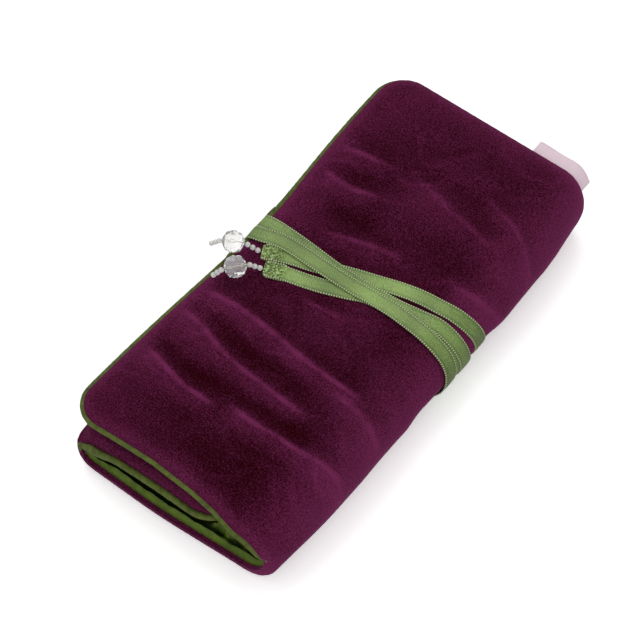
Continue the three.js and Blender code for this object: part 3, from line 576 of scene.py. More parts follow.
def waist(x, y, z):
    """Points sunk and drawn in round the tie, settled and askew at the near end, drawn in at right corners.

    The tie is a bell along Y that pushes the right fold out, the ends are eased ramps, and sinking grows
    with height. At the near end the top flap's edge lies back, the inner flap lifts in its middle and the
    left fold's upper seam sags."""
    pull = hump(y - TIE_Y, WAIST_SPREAD)
    drawn = hump(y - TIE_Y, np.where(y < TIE_Y, WAIST_DRAW_SPREAD, WAIST_SPREAD))
    sink = smooth((z - PANEL_THICKNESS) / (ROLL_HEIGHT - PANEL_THICKNESS))
    draw = smooth((WAIST_DRAW_START - x) / WAIST_DRAW_RUN)
    inwards = ROLL_LENGTH / 2 + y
    settle = smooth(1 - inwards / SETTLE_LENGTH) * smooth(1 + (x - RIGHT_X) / SETTLE_SPAN)
    right = smooth((x - RIGHT_X) / FAR_DRAW_SPAN)
    far = smooth(1 - (ROLL_LENGTH / 2 - y) / FAR_DRAW_LENGTH) * right
    near = smooth(1 - inwards / NEAR_DRAW_LENGTH)
    skew = near * smooth((x - NEAR_SKEW_START) / NEAR_SKEW_RUN)
    push = TIE_PUSH * hump(y - TIE_Y, TIE_PUSH_SPREAD) * right
    mouth = smooth(1 - inwards / MOUTH_LENGTH)
    back = mouth * smooth((z - MOUTH_LEVEL) / MOUTH_EASE) * np.interp(x, MOUTH_X, MOUTH_BACK)
    between = smooth((z - LIFT_FROM) / LIFT_EASE) * (1 - smooth((z - LIFT_TO) / LIFT_FALL))
    lift = LIFT * mouth * between * hump(x - LIFT_X, LIFT_SPREAD)
    seam = hump(z - SAG_LEVEL, SAG_SPREAD) * (1 - smooth((x - SAG_X) / SAG_EASE))
    sag = SAG * smooth(1 - inwards / SAG_LENGTH) * seam
    return np.stack(
        np.broadcast_arrays(
            x + WAIST_DRAW * drawn * draw - FAR_DRAW * far - NEAR_DRAW * near * right + push,
            y + NEAR_SKEW * skew + back,
            z - (WAIST_DROP * pull + SETTLE_DROP * settle) * sink + lift - sag,
        ),
        -1,
    )


def groove(y):
    """Depth of the hollow under the tie."""
    return GROOVE_DEPTH * (1 - smooth((abs(y - TIE_Y) - TIE_HALF_WIDTH) / GROOVE_SHOULDER))


class Segment:
    """One stretch of the mat: name, body, range of s, and the fold that turns (s, n) into X and Z."""

    def __init__(self, name, body, start, end, place, unroll, free=None, joint=None):
        self.name, self.body, self.start, self.end = name, body, start, end
        self.place, self.unroll, self.free, self.joint = place, unroll, free, joint

    def outline(self, tuck, s):
        """Middle and half length along Y, free edge and corner radius of the outline moved out by tuck(s)."""
        near, far, free = tuck(s)
        end = None if self.free is None else self.free + free
        return (far - near) / 2, MAT_HALF + (far + near) / 2, end, CORNER_RADIUS + free

    def border(self, s, y, tuck):
        """Distance in from the rounded outline."""
        middle, half, end, r = self.outline(tuck, s)
        along = half - abs(y - middle)
        if end is None:
            return np.broadcast_to(along, np.broadcast(s, y).shape)
        across = end - s
        corner = r - np.hypot(np.maximum(r - across, 0), np.maximum(r - along, 0))
        return np.where((across < r) & (along < r), corner, np.minimum(across, along))

    def folded(self, s, y, n):
        """Points of the mat at (s, y, n), folded up and tied."""
        x, z = self.place(s, n)
        return waist(x, y, z)

    def grid(self, rows, columns, tuck):
        """(s, y) over the rounded outline: rows across close up to the free edge, columns to both ends."""
        t = np.linspace(0, 1, rows)[:, None]
        middle, half, end, r = self.outline(tuck, mix(self.start, self.end, t))
        v = np.linspace(-1, 1, columns)[None, :]
        v = 0.5 * v + 0.5 * np.sin(v * math.pi / 2)
        if end is None:
            return np.broadcast_arrays(mix(self.start, self.end, t), middle + v * half)
        s = end * (0.3 * t + 0.7 * np.sin(t * math.pi / 2))
        over = np.clip(s - (end - r), 0, r)
        return np.broadcast_arrays(s, middle + v * (half - r + np.sqrt(r * r - over**2)))


def turned(centre_x, radius, side):
    """Fold about a centre line at half the fold's height: s is the angle from -90 to 90 degrees."""

    def place(s, n):
        angle = np.radians(s)
        return centre_x + side * (radius - n) * np.cos(angle), radius + (radius - n) * np.sin(angle)

    return place


BASE = Segment("base", "base", 0.0, RIGHT_X - LEFT_X, lambda s, n: (LEFT_X + s, n), lambda s: LEFT_X + s)
RIGHT_FOLD = Segment(
    "right_fold", "base", -90.0, 90.0, turned(RIGHT_X, RIGHT_RADIUS, 1),
    lambda s: RIGHT_X + RIGHT_RADIUS * np.radians(90 - s), joint="top_flap_hinge",
)
LEFT_FOLD = Segment(
    "left_fold", "base", -90.0, 90.0, turned(LEFT_X, LEFT_RADIUS, -1),
    lambda s: LEFT_X - LEFT_RADIUS * np.radians(90 - s), joint="inner_flap_hinge",
)
TOP_FLAP = Segment(
    "top_flap", "top_flap", 0.0, TOP_REACH, lambda s, n: (RIGHT_X - s, ROLL_HEIGHT - n),
    lambda s: RIGHT_X - s, free=TOP_REACH,
)
INNER_FLAP = Segment(
    "inner_flap", "inner_flap", 0.0, INNER_REACH, lambda s, n: (LEFT_X + s, 2 * LEFT_RADIUS - n),
    lambda s: LEFT_X + s, free=INNER_REACH,
)
SEGMENTS = (BASE, RIGHT_FOLD, LEFT_FOLD, TOP_FLAP, INNER_FLAP)

# Pulled creases across the top: X and Y along each crest, its width and its height share, which also scales
# its painted highlight and shade.
CREASE_PAST_END, CREASE_FADE = 7, 12
CREASES = (
    ((-44, -36, -22, -10), (-67.9, -69.6, -72.4, -72.2), 4.2, 0.85),
    ((1, 12, 22, 33, 43, 52), (-68.4, -68.9, -67.9, -68.0, -66.3, -65.5), 4.2, 0.78),
    ((-46, -36, -22, -9, 9, 22), (-44.6, -45.7, -49.8, -52.0, -53.2, -53.5), 4.2, 0.72),
    ((-46, -31, -18, -7, 7, 21, 35), (-30.7, -29.5, -29.8, -30.7, -32.8, -33.6, -34.0), 4.2, 0.8),
    ((-9, -2, 5), (-8.5, -7.5, -6.5), 3.0, 0.5),
    ((-46, -33, -7, 17, 30), (-61.0, -64.3, -62.9, -60.7, -60.3), 3.6, -0.6),
    ((-34, -14, 1, 16), (-38.5, -41.5, -43.5, -43.5), 4.2, -0.5),
    ((-8, 2, 10, 22, 34), (66.0, 64.6, 62.0, 60.2, 57.0), 5.2, 0.35),
    ((22, 37, 51, 64), (75.5, 71.0, 64.2, 57.0), 3.4, 0.36),
    ((-47, -35, -24), (61.0, 62.8, 64.0), 4.2, 0.6),
    ((-43, -30, -19), (46.4, 45.7, 48.8), 4.6, 0.65),
    ((-24, -6, 5), (24.0, 29.3, 31.5), 4.0, 0.55),
    ((-10, 3, 22), (70.8, 72.6, 72.2), 5.0, -0.3),
    ((-32, -22, -8), (33.5, 35.8, 38.7), 4.2, -0.6),
    ((30, 45, 60), (-38.0, -40.0, -44.0), 5.0, 0.5),
    ((54, 60, 66), (-66.0, -68.0, -70.0), 5.5, 0.4),
    ((36, 50, 66), (34.0, 36.0, 40.0), 5.0, 0.45),
)


def creases(x, y):
    """Height and tone of the pulled creases, 1 at a crest.

    A crest line is a lopsided bell, steep on its far side and gentle on its near side, faded out past its two
    ends. Its tone is painted light: a thin broken painted highlight along the crest, a softer one on its near
    side and a band of painted shade behind it; a valley, of negative share, is a line of painted shade."""
    height = tone = np.zeros(np.broadcast(x, y).shape)
    for xs, ys, width, share in CREASES:
        begin = smooth((x - xs[0] + CREASE_PAST_END) / CREASE_FADE)
        fade = begin * smooth((xs[-1] + CREASE_PAST_END - x) / CREASE_FADE)
        away = y - np.interp(x, xs, ys)
        height = height + share * fade * hump(away, np.where(away > 0, 0.8, 1.3) * width)
        if share > 0:
            # Painted highlight along the crest and on its near side, painted shade behind it.
            streak = 0.95 + 0.25 * np.sin(0.31 * x + 0.2 * ys[0]) + 0.15 * np.sin(0.83 * x + ys[-1])
            line = streak * hump(away, 0.27 * width) + 0.34 * hump(away + 0.8 * width, width)
            line = line - 0.17 * hump(away - 1.4 * width, width)
        else:
            # A valley: a line of painted shade.
            line = 0.36 * hump(away, width)
        tone = tone + share * fade * line
    return height, tone


def puckers(x, y):
    """Faint small creases, 0 to 1: ridges across the roll, bent by slow waves and broken into patches."""
    bend = 2.2 * np.sin(0.07 * x + 0.03 * y) + 1.1 * np.sin(0.19 * x - 0.05 * y + 1.3)
    wide, narrow = np.sin(0.21 * y + bend), np.sin(0.37 * y - 0.06 * x + 1.7 * bend)
    ridge = (1 - abs(wide)) ** 3 + 0.6 * (1 - abs(narrow)) ** 3
    patch = smooth(0.5 + 0.9 * np.sin(0.11 * x + 0.9 * np.sin(0.05 * y)) * np.sin(0.06 * y + 0.04 * x + 0.8))
    return ridge * patch


def swell(a, b):
    """Slow uneven swelling of stuffed cloth: three crossed sines, -1 to 1."""
    return (
        np.sin(0.17 * a + 0.9 * np.sin(0.06 * b) + 0.7)
        + np.sin(0.115 * b + 1.1 * np.sin(0.08 * a) + 2.1)
        + np.sin(0.09 * a - 0.13 * b + 0.4)
    ) / 3


def velvet_tuck(segment):
    """Near, far and free runs of the velvet past the outline, as a function of s: it bulges at the far end,
    and at the near end below the top flap."""
    if segment is TOP_FLAP:
        return lambda s: (COVERED, BULGED, COVERED_FREE)
    if segment is INNER_FLAP:
        return lambda s: (TUCKED, TUCKED, TUCKED)
    if segment is RIGHT_FOLD:
        return lambda s: (mix(SPILLED, COVERED, smooth((s + 60) / 150)), BULGED, 0.0)
    if segment is LEFT_FOLD:
        return lambda s: (
            mix(SPILLED, TUCKED, smooth((s + 80) / 150)), mix(BULGED, TUCKED, smooth((s - 20) / 70)), 0.0,
        )
    return lambda s: (SPILLED, BULGED, 0.0)


def velvet_lip(segment, s, y):
    """Depth of the velvet's inner side: at the seam, lapping up over the piping at the bulged near end."""
    tuck = velvet_tuck(segment)
    if segment.free is not None:
        return SEAM + 0 * s
    past = tuck(s)[0] - BULGED
    lap = 1 - smooth((segment.border(s, y, tuck) - past - 0.9) / 0.9)
    return SEAM + np.where(y < 0, LIP, 0) * smooth(past + 1) * lap


def lining_tuck(s):
    """Near, far and free runs of the lining past the outline."""
    return LINED, LINED, LINED_FREE


def velvet_depth(segment, s, y, cloth):
    """Depth of the velvet face, and its tone with painted light.

    It rolls down to the seam at the border, tightly where the near end bulges, lies hollow under the tie, and
    is raised by creases. Its tone has painted highlight on crests, on the small creases, along the border and
    on the right fold, and painted shade behind crests and in valleys, over an uneven tone that is darker in a
    broad patch near the near end."""
    tuck = velvet_tuck(segment)
    edge = segment.border(s, y, tuck)
    width = cloth.edge_roll / MM
    if segment is TOP_FLAP:
        middle, half, end, _ = segment.outline(tuck, s)
        tight = smooth(0.5 + (end - s - half - (y - middle)) / 16)
    elif segment is LEFT_FOLD:
        tight = smooth((tuck(s)[0] - TUCKED) / (SPILLED - TUCKED))
    else:
        tight = 0.0 if segment is INNER_FLAP else 1.0
    width = np.where(y < 0, mix(width, TIGHT_ROLL, tight), width)
    full = arch(edge / width)
    x = segment.unroll(s)
    inside = smooth((edge - 1.5) / 9)
    hollow = 0.0 if segment is INNER_FLAP else groove(y)
    rise = 0.0 * y
    height, tone = creases(x, y)
    small = puckers(x, y)
    if segment in (TOP_FLAP, RIGHT_FOLD):
        low = smooth((s + 90) / 60) if segment is RIGHT_FOLD else 1.0
        away = 1 - smooth((TIE_HALF_WIDTH + 2 - abs(y - TIE_Y)) / 4)
        rise = low * (height * cloth.wrinkle / MM + away * (PAD_SWELL * swell(x, y) + 0.1 * small)) * inside
    elif segment is not BASE:
        rise = PAD_SWELL * swell(x * 1.5, y * 1.3) * inside
    pinch = 0.12 * np.sin(2 * math.pi * (y + x) / 5.2) * hump(edge - 2.2, 1.8)
    # Uneven tone, darker in a broad patch near the near end.
    uneven_and_dark_patch = 0.1 * swell(0.8 * x, 0.7 * y) - 0.28 * hump(np.hypot(x - 8, (y + 88) * 1.6), 26)
    # Painted highlight on crests and small creases, painted shade behind crests and in valleys.
    pile = 0.25 + (0.85 * tone + 0.14 * (small - 0.3) + uneven_and_dark_patch) * inside
    # Painted highlight in a line next to the piping and over the border, the border's weaker towards the near
    # end.
    rim = mix(0.04, 0.24, smooth((y + 104) / 24))
    pile = pile + 0.22 * hump(edge - 1.5, 3.0) + rim * hump(edge, 13)
    if segment in (TOP_FLAP, RIGHT_FOLD):
        # Painted highlight on the right fold, weaker towards the near end.
        side_on = smooth((x - RIGHT_X + 9) / 40) * smooth((RIGHT_X + 64 - x) / 14)
        pile = pile + 0.6 * side_on * mix(0.6, 1.0, smooth((y + 110) / 34))
    return mix(SEAM - 0.15, hollow - rise, full) - pinch, pile


def lining_depth(segment, s, y, cloth):
    """Depth of the lining face, and painted shade in its hollows from 0 down to -1.

    At both ends the base's lining rolls up to a low wavy crest with a hollow behind it, and the inner flap's
    hangs in a wave out of step with it, so the slit between them is thin and dark, and painted shade darkens
    the hollow. At the near end the base's lining is bunched up into a curl beside the right fold."""
    edge = segment.border(s, y, lining_tuck)
    full = arch(edge / LINING_ROLL)
    x = segment.unroll(s)
    if segment is RIGHT_FOLD:
        x = RIGHT_X + 0.5 * RIGHT_RADIUS * np.radians(s + 90)
    elif segment is LEFT_FOLD:
        x = LEFT_X + 0 * s
    end = MAT_HALF + LINED - abs(y)
    hang = cloth.end_swell / MM
    pulled = np.where(y < 0, 1.0, 0.3)
    wave = pulled * (0.35 * np.sin(0.42 * x + 0.8 * np.sin(0.13 * x)) + 0.2 * np.sin(1.05 * x + 1.0))
    bunched = smooth((x - 10) / 14) * (y < 0)
    start = mix(0.8, 2.0, smooth((x + 42) / 14))
    slot = -SLOT_DEPTH * smooth((end - start) / 1.6) * (1 - smooth((end - 9) / 3.5))
    curl = 0.8 + 0.3 * np.sin(0.8 * x + 0.6) + 0.2 * np.sin(1.9 * x)
    curl = curl * hump(end - 6.4 - 1.4 * np.sin(0.7 * x), 1.8)
    bunch = 2.5 * hang * curl - 2.6 * hump(end - 3.7, 1.1)
    low = (0.3 + 1.2 * wave) * hump(end - start + 0.3, 1.3) + mix(slot, bunch, bunched)
    high = (1 - 0.8 * wave) * hang * hump(end - 2.4, 2.6)
    flat = 0.4 * hang * hump(end - 2.4, 2.6)
    rise = {
        "base": low,
        "left_fold": mix(low, high, smooth((s + 90) / 180)),
        "inner_flap": high,
        "right_fold": mix(low, flat, smooth((s + 60) / 130)),
        "top_flap": flat,
    }[segment.name]
    rise = rise + 0.12 * swell(2.3 * x, 2.0 * y) * smooth(edge / 6)
    # The second value is painted shade: darker where the lining sinks below its level, most in the slot behind
    # the end crest.
    return mix(SEAM + 0.15, PANEL_THICKNESS + rise, full), np.clip(rise / SLOT_DEPTH, -1, 0)


def grid_quads(rows, columns, wrap=False):
    """Corners of the quads of a grid of points stored row by row; wrap joins the last column to the first."""
    i = np.arange(rows - 1)[:, None]
    j = np.arange(columns if wrap else columns - 1)[None, :]
    k = (j + 1) % columns
    here, after = i * columns, (i + 1) * columns
    return np.stack([here + j, after + j, after + k, here + k], -1).reshape(-1, 4)


def slab(lower, upper, *flat):
    """Closed body between two like grids of points: both faces, and a rim of quads round their edges.

    Its map, where given, is the pair of grids in flat."""
    rows, columns = lower.shape[:2]
    index = np.arange(rows * columns).reshape(rows, columns)
    rim = np.concatenate([index[:, 0], index[-1, 1:], index[-2::-1, -1], index[0, -2:0:-1]])
    after, count = np.roll(rim, -1), rows * columns
    face = grid_quads(rows, columns)
    side = np.stack([rim, after, after + count, rim + count], -1)
    quads = np.concatenate([face[:, ::-1], face + count, side])
    shape = {"points": np.concatenate([lower.reshape(-1, 3), upper.reshape(-1, 3)]), "quads": quads}
    if flat:
        spread = np.stack(np.broadcast_arrays(*flat), -1).reshape(-1, 2)
        shape["corners"] = np.tile(spread, (2, 1))[quads.ravel()]
    return shape


def unit(vectors):
    return vectors / np.linalg.norm(vectors, axis=-1, keepdims=True)


def run_along(points):
    """Distance along a line of points."""
    return np.concatenate([[0], np.cumsum(np.linalg.norm(np.diff(points, axis=0), axis=1))])


def at_runs(even, run, points):
    """Points at those distances along a line."""
    return np.stack([np.interp(even, run, column) for column in points.T], -1)


def ring_points(rings):
    """Points of a tube's rings, and after them the middles of its two end rings."""
    return np.concatenate([rings.reshape(-1, 3), rings[[0, -1]].mean(axis=1)])


def end_fans(rows, columns):
    """Triangles that close both end rings of a tube about their middles."""
    j = np.arange(columns)
    k, last, total = (j + 1) % columns, (rows - 1) * columns, rows * columns
    near = np.stack([j, k, np.full(columns, total)], -1)
    far = np.stack([last + k, last + j, np.full(columns, total + 1)], -1)
    return np.concatenate([near, far])


def tube(rings, run):
    """Closed body through rings of points, with a fan about the middle of each end ring.

    Its map is run along the body and 0 to 1 round it, unwrapped at the seam."""
    rows, columns = rings.shape[:2]
    row, column = [a.ravel() for a in np.meshgrid(np.arange(rows - 1), np.arange(columns), indexing="ij")]
    u = np.stack([run[row], run[row + 1], run[row + 1], run[row]], -1)
    v = np.stack([column, column, column + 1, column + 1], -1) / columns
    corners = np.stack([u, v], -1).reshape(-1, 2)
    ends = np.concatenate([np.full(3 * columns, run[0]), np.full(3 * columns, run[-1])])
    fan = np.stack([ends, np.tile([0.0, 0.0, 0.5], 2 * columns)], -1)
    return {
        "points": ring_points(rings), "quads": grid_quads(rows, columns, wrap=True),
        "triangles": end_fans(rows, columns), "corners": np.concatenate([corners, fan]),
    }


def make_piece(name, shape, paint, body, nodes, values=None, sharp=38.0, flat=False):
    """A mesh piece from a shape in roll millimetres, turned outwards, with map, values, paint and body."""
    points, corners = shape["points"], shape.get("corners")
    quads = shape.get("quads", np.zeros((0, 4), int))
    triangles = shape.get("triangles", np.zeros((0, 3), int))
    place = (points + SHIFT) * MM
    three = np.concatenate([quads[:, :3], quads[:, [0, 2, 3]], triangles])
    a, b, c = (place[three[:, i]] - place.mean(axis=0) for i in range(3))
    if np.einsum("ij,ij->i", a, np.cross(b, c)).sum() < 0:
        if corners is not None:
            four = corners[: quads.size].reshape(-1, 4, 2)[:, ::-1]
            rest = corners[quads.size :].reshape(-1, 3, 2)[:, ::-1]
            corners = np.concatenate([four.reshape(-1, 2), rest.reshape(-1, 2)])
        quads, triangles = quads[:, ::-1], triangles[:, ::-1]
    mesh = bpy.data.meshes.new(name)
    mesh.vertices.add(len(place))
    mesh.vertices.foreach_set("co", place.astype(np.float32).ravel())
    loops = np.concatenate([quads.ravel(), triangles.ravel()]).astype(np.int32)
    mesh.loops.add(len(loops))
    mesh.loops.foreach_set("vertex_index", loops)
    starts = np.concatenate([np.arange(len(quads)) * 4, quads.size + np.arange(len(triangles)) * 3])
    mesh.polygons.add(len(starts))
    mesh.polygons.foreach_set("loop_start", starts.astype(np.int32))
    mesh.update(calc_edges=True)
    if mesh.validate():
        raise RuntimeError(f"{name}: the mesh was not sound")
    if corners is not None:
        mesh.uv_layers.new(name="run").data.foreach_set("uv", corners.astype(np.float32).ravel())
    for key, value in (values or {}).items():
        mesh.attributes.new(key, "FLOAT", "POINT").data.foreach_set("value", value.astype(np.float32).ravel())
    mesh.polygons.foreach_set("use_smooth", np.full(len(starts), not flat))
    if not flat:
        mesh.set_sharp_from_angle(angle=math.radians(sharp))
    mesh.materials.append(paint)
    piece = bpy.data.objects.new(name, mesh)
    bpy.context.scene.collection.objects.link(piece)
    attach(piece, body)
    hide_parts(*nodes)
    return piece


def settings_of(context):
    return context.scene.jewellery_roll


def paint_named(name, make, *values):
    """The paint of that name, made once."""
    return bpy.data.materials.get(name) or make(*values)


# ---------------------------------------------------------------- stage


class ROLL_OT_stage(bpy.types.Operator):
    """Camera, soft lamps, white surround and pale floor."""

    bl_idname = "roll.stage"
    bl_label = "Stage"

    def execute(self, context):
        stage = settings_of(context).stage
        self.camera(context, stage)
        self.lamp(context, "key_lamp", KEY_AT, stage.key)
        self.lamp(context, "fill_lamp", FILL_AT, stage.fill)
        self.world(context, stage)
        self.floor(context, stage)
        context.scene.view_settings.view_transform = "Standard"
        return {"FINISHED"}

    def camera(self, context, stage):
        data = bpy.data.cameras.new("camera")
        data.lens, data.sensor_width = stage.lens, 36.0
        data.clip_start, data.clip_end = 0.01, 20.0
        a, e = stage.azimuth, stage.elevation
        back = Vector((math.sin(a) * math.cos(e), -math.cos(a) * math.cos(e), math.sin(e)))
        level = Vector((0, 0, 1)).cross(back).normalized()
        raised = back.cross(level)
        right = level * math.cos(TILT) + raised * math.sin(TILT)
        up = raised * math.cos(TILT) - level * math.sin(TILT)
        aim = Vector(SHIFT * MM) + Vector((0, 0, AIM_HEIGHT))
        camera = bpy.data.objects.new("camera", data)
        at = aim - right * AIM_LEFT + up * AIM_UP + back * stage.distance
        turn = Matrix((right, up, back)).transposed().to_4x4()
        camera.matrix_world = Matrix.Translation(at) @ turn
        context.scene.collection.objects.link(camera)
        context.scene.camera = camera

    def lamp(self, context, name, at, power):
        data = bpy.data.lights.new(name, "AREA")
        data.shape, data.size, data.energy = "DISK", LAMP_SIZE, power
        lamp = bpy.data.objects.new(name, data)
        lamp.location = at
        lamp.rotation_mode = "QUATERNION"
        lamp.rotation_quaternion = (-Vector(at)).to_track_quat("-Z", "Y")
        context.scene.collection.objects.link(lamp)

    def world(self, context, stage):
        """Even light, but white to the eye, through glass and in reflections."""
        p = Paint("surround", "worlds")
        seen = p.ray("Camera").greater(p.ray("Transmission")).greater(p.ray("Glossy"))
        strength = p.node("ShaderNodeMapRange", None, {"Value": seen, "To Min": stage.ambient, "To Max": 1.0})
        p.finish(p.node("ShaderNodeBackground", None, {"Strength": strength}), "ShaderNodeOutputWorld")
        context.scene.world = p.owner

    def floor(self, context, stage):
        """Flat sheet far past the view; seen directly it is whiter, so only the close shadow shows on it."""
        p = Paint("pale_floor")
        speck = p.noise(30, 2)
        seen = p.ray("Camera") + p.ray("Transmission")
        pale = p.blend(shaded(stage.floor, 0.99), tuple(stage.floor), speck)
        plain = p.node("ShaderNodeBsdfDiffuse", None, {"Color": pale})
        white = p.node("ShaderNodeBsdfDiffuse", None, {"Color": (SEEN_WHITE, SEEN_WHITE, SEEN_WHITE, 1)})
        glow = p.node("ShaderNodeEmission", None, {"Color": (1, 1, 1, 1), "Strength": SEEN_GLOW})
        whiter = p.node("ShaderNodeAddShader", None, {0: white, 1: glow})
        p.finish(p.node("ShaderNodeMixShader", None, {0: seen, 1: plain, 2: whiter}))
        edge = np.linspace(-FLOOR_REACH, FLOOR_REACH, 9)
        x, y = np.meshgrid(edge, edge, indexing="ij")
        mesh = bpy.data.meshes.new("floor")
        mesh.from_pydata(np.stack([x, y, np.zeros_like(x)], -1).reshape(-1, 3), [], grid_quads(9, 9))
        mesh.materials.append(p.owner)
        floor = bpy.data.objects.new("floor", mesh)
        context.scene.collection.objects.link(floor)


# ---------------------------------------------------------------- ribbons and drops

TOP_RUN = TOP_REACH - 1


def on_top(loop, *keys):
    """Keys of a loop over the top flap, their places given in roll widths right of the middle."""
    return tuple((5 * loop + 4 + (RIGHT_X - share * ROLL_WIDTH) / TOP_RUN, y) for share, y in keys)


# Each ribbon along its turns: distance from the tie's middle in ribbon widths, and ribbons beneath it.
RIBBONS = {
    "a": (
        (
            (0.95, 1.3571), (2, 1.3571), (3, 0.72), (3.5, 0.74), (3.8, 0.8), (3.95, 0.76),
            *on_top(
                0, (0.28, 0.52), (0.2, 0.32), (0.1, 0.2), (0, 0.165), (-0.1, 0.195), (-0.2, 0.31),
                (-0.3, 0.41), (-0.43, 0.46),
            ),
            (6, 0.4), (7, 0.2), (8, 2.35), (8.5, 2.42), (8.66, 2.31), (8.79, 2.15), (8.9, 2.02), (9, 1.88),
            *on_top(
                1, (0.26, 1.8), (0.2, 1.63), (0.14, 1.38), (0.07, 1.02), (0, 0.69), (-0.09, 0.2),
                (-0.18, -0.3), (-0.27, -0.66), (-0.345, -1.1), (-0.3925, -1.46),
            ),
        ),
        ((2.8, 0), (3.1, 1), (7.9, 1), (8.3, 0)),
    ),
    "b": (
        (
            (0.95, -2.2857), (2, -2.2857), (3, -1.35), (3.5, -0.8), (3.62, -0.56), (3.73, -0.4),
            (3.85, -0.33), (3.97, -0.22),
            *on_top(
                0, (0.27, -0.1), (0.2, -0.02), (0.1, -0.06), (0.02, -0.165), (-0.09, -0.17), (-0.2, -0.13),
                (-0.32, -0.1), (-0.39, -0.26), (-0.45, -0.56),
            ),
            (6, -0.75), (7, -1.0714), (8, -0.45), (8.35, 0.1), (8.75, 0.35), (9, 0.35),
            *on_top(
                1, (0.2, 0.2), (0.1, -0.02), (0.06, -0.15), (0.02, -0.5), (-0.02, -0.74), (-0.085, -1.16),
                (-0.16, -1.52), (-0.25, -1.85), (-0.33, -2.33),
            ),
        ),
        ((2.2, 0), (2.6, 1), (3.4, 1), (3.8, 2), (4.95, 2), (6, 0)),
    ),
}


def softened(values, steps):
    """Running bell average along the first axis, with the ends held."""
    reach = 3 * steps
    weight = hump(np.arange(-reach, reach + 1), 1.4 * steps)
    padded = np.concatenate([np.repeat(values[:1], reach, 0), values, np.repeat(values[-1:], reach, 0)])
    kept = np.stack([np.convolve(column, weight / weight.sum(), "valid") for column in padded.T], -1)
    kept[0], kept[-1] = values[0], values[-1]
    return kept


def ribbon_route(keys, layers, width):
    """Middle line and outward direction of a wound ribbon, at even steps.

    Stages of a turn: 0 over the piped free edge and 1 round the left fold, both arcs that meet the taut
    line between them, 2 straight under the base, 3 round the right fold, 4 over the top flap."""
    turn = np.linspace(keys[0][0], keys[-1][0], 6000)
    lift = CLEARANCE + RIBBON_PITCH * np.interp(turn, *np.transpose(layers))
    y = TIE_Y + width * np.interp(turn, *np.transpose(keys))
    stage = np.minimum(np.floor(turn % 5), 4)
    part = turn % 5 - stage
    edge = np.array([RIGHT_X - TOP_REACH - PIPING_OFFSET, ROLL_HEIGHT - SEAM])
    to_fold = edge - np.array([LEFT_X, LEFT_RADIUS])
    inner, outer = LEFT_RADIUS - GROOVE_DEPTH + lift, PIPING_RADIUS + lift
    taut = math.atan2(to_fold[1], to_fold[0]) + np.arccos((inner - outer) / np.hypot(*to_fold))
    stages = [stage == i for i in range(4)]
    up, down = math.pi / 2, 1.5 * math.pi
    angle = np.select(stages, [mix(up, taut, part), mix(taut, down, part), down, (part - 0.5) * math.pi], up)
    cos, sin = np.cos(angle), np.sin(angle)
    top_s = part * TOP_RUN
    top_n = mix(SEAM - RIBBON_OVER_SEAM, GROOVE_DEPTH, arch((TOP_REACH - top_s) / 8)) - lift
    round_x, round_z = RIGHT_FOLD.place(np.degrees(angle), GROOVE_DEPTH - lift)
    x_parts = [edge[0] + outer * cos, LEFT_X + inner * cos, mix(LEFT_X, RIGHT_X, part), round_x]
    z_parts = [edge[1] + outer * sin, LEFT_RADIUS + inner * sin, GROOVE_DEPTH - lift, round_z]
    x = np.select(stages, x_parts, RIGHT_X - top_s)
    z = np.select(stages, z_parts, ROLL_HEIGHT - top_n)
    points = waist(x, y, z)
    run = run_along(points)
    even = np.linspace(0, run[-1], int(run[-1] / RIBBON_STEP))
    line = softened(at_runs(even, run, points), 3)
    out = softened(at_runs(even, run, np.stack([cos, sin], -1)), 4)
    return even, line, unit(np.stack([out[:, 0], 0 * out[:, 0], out[:, 1]], -1))


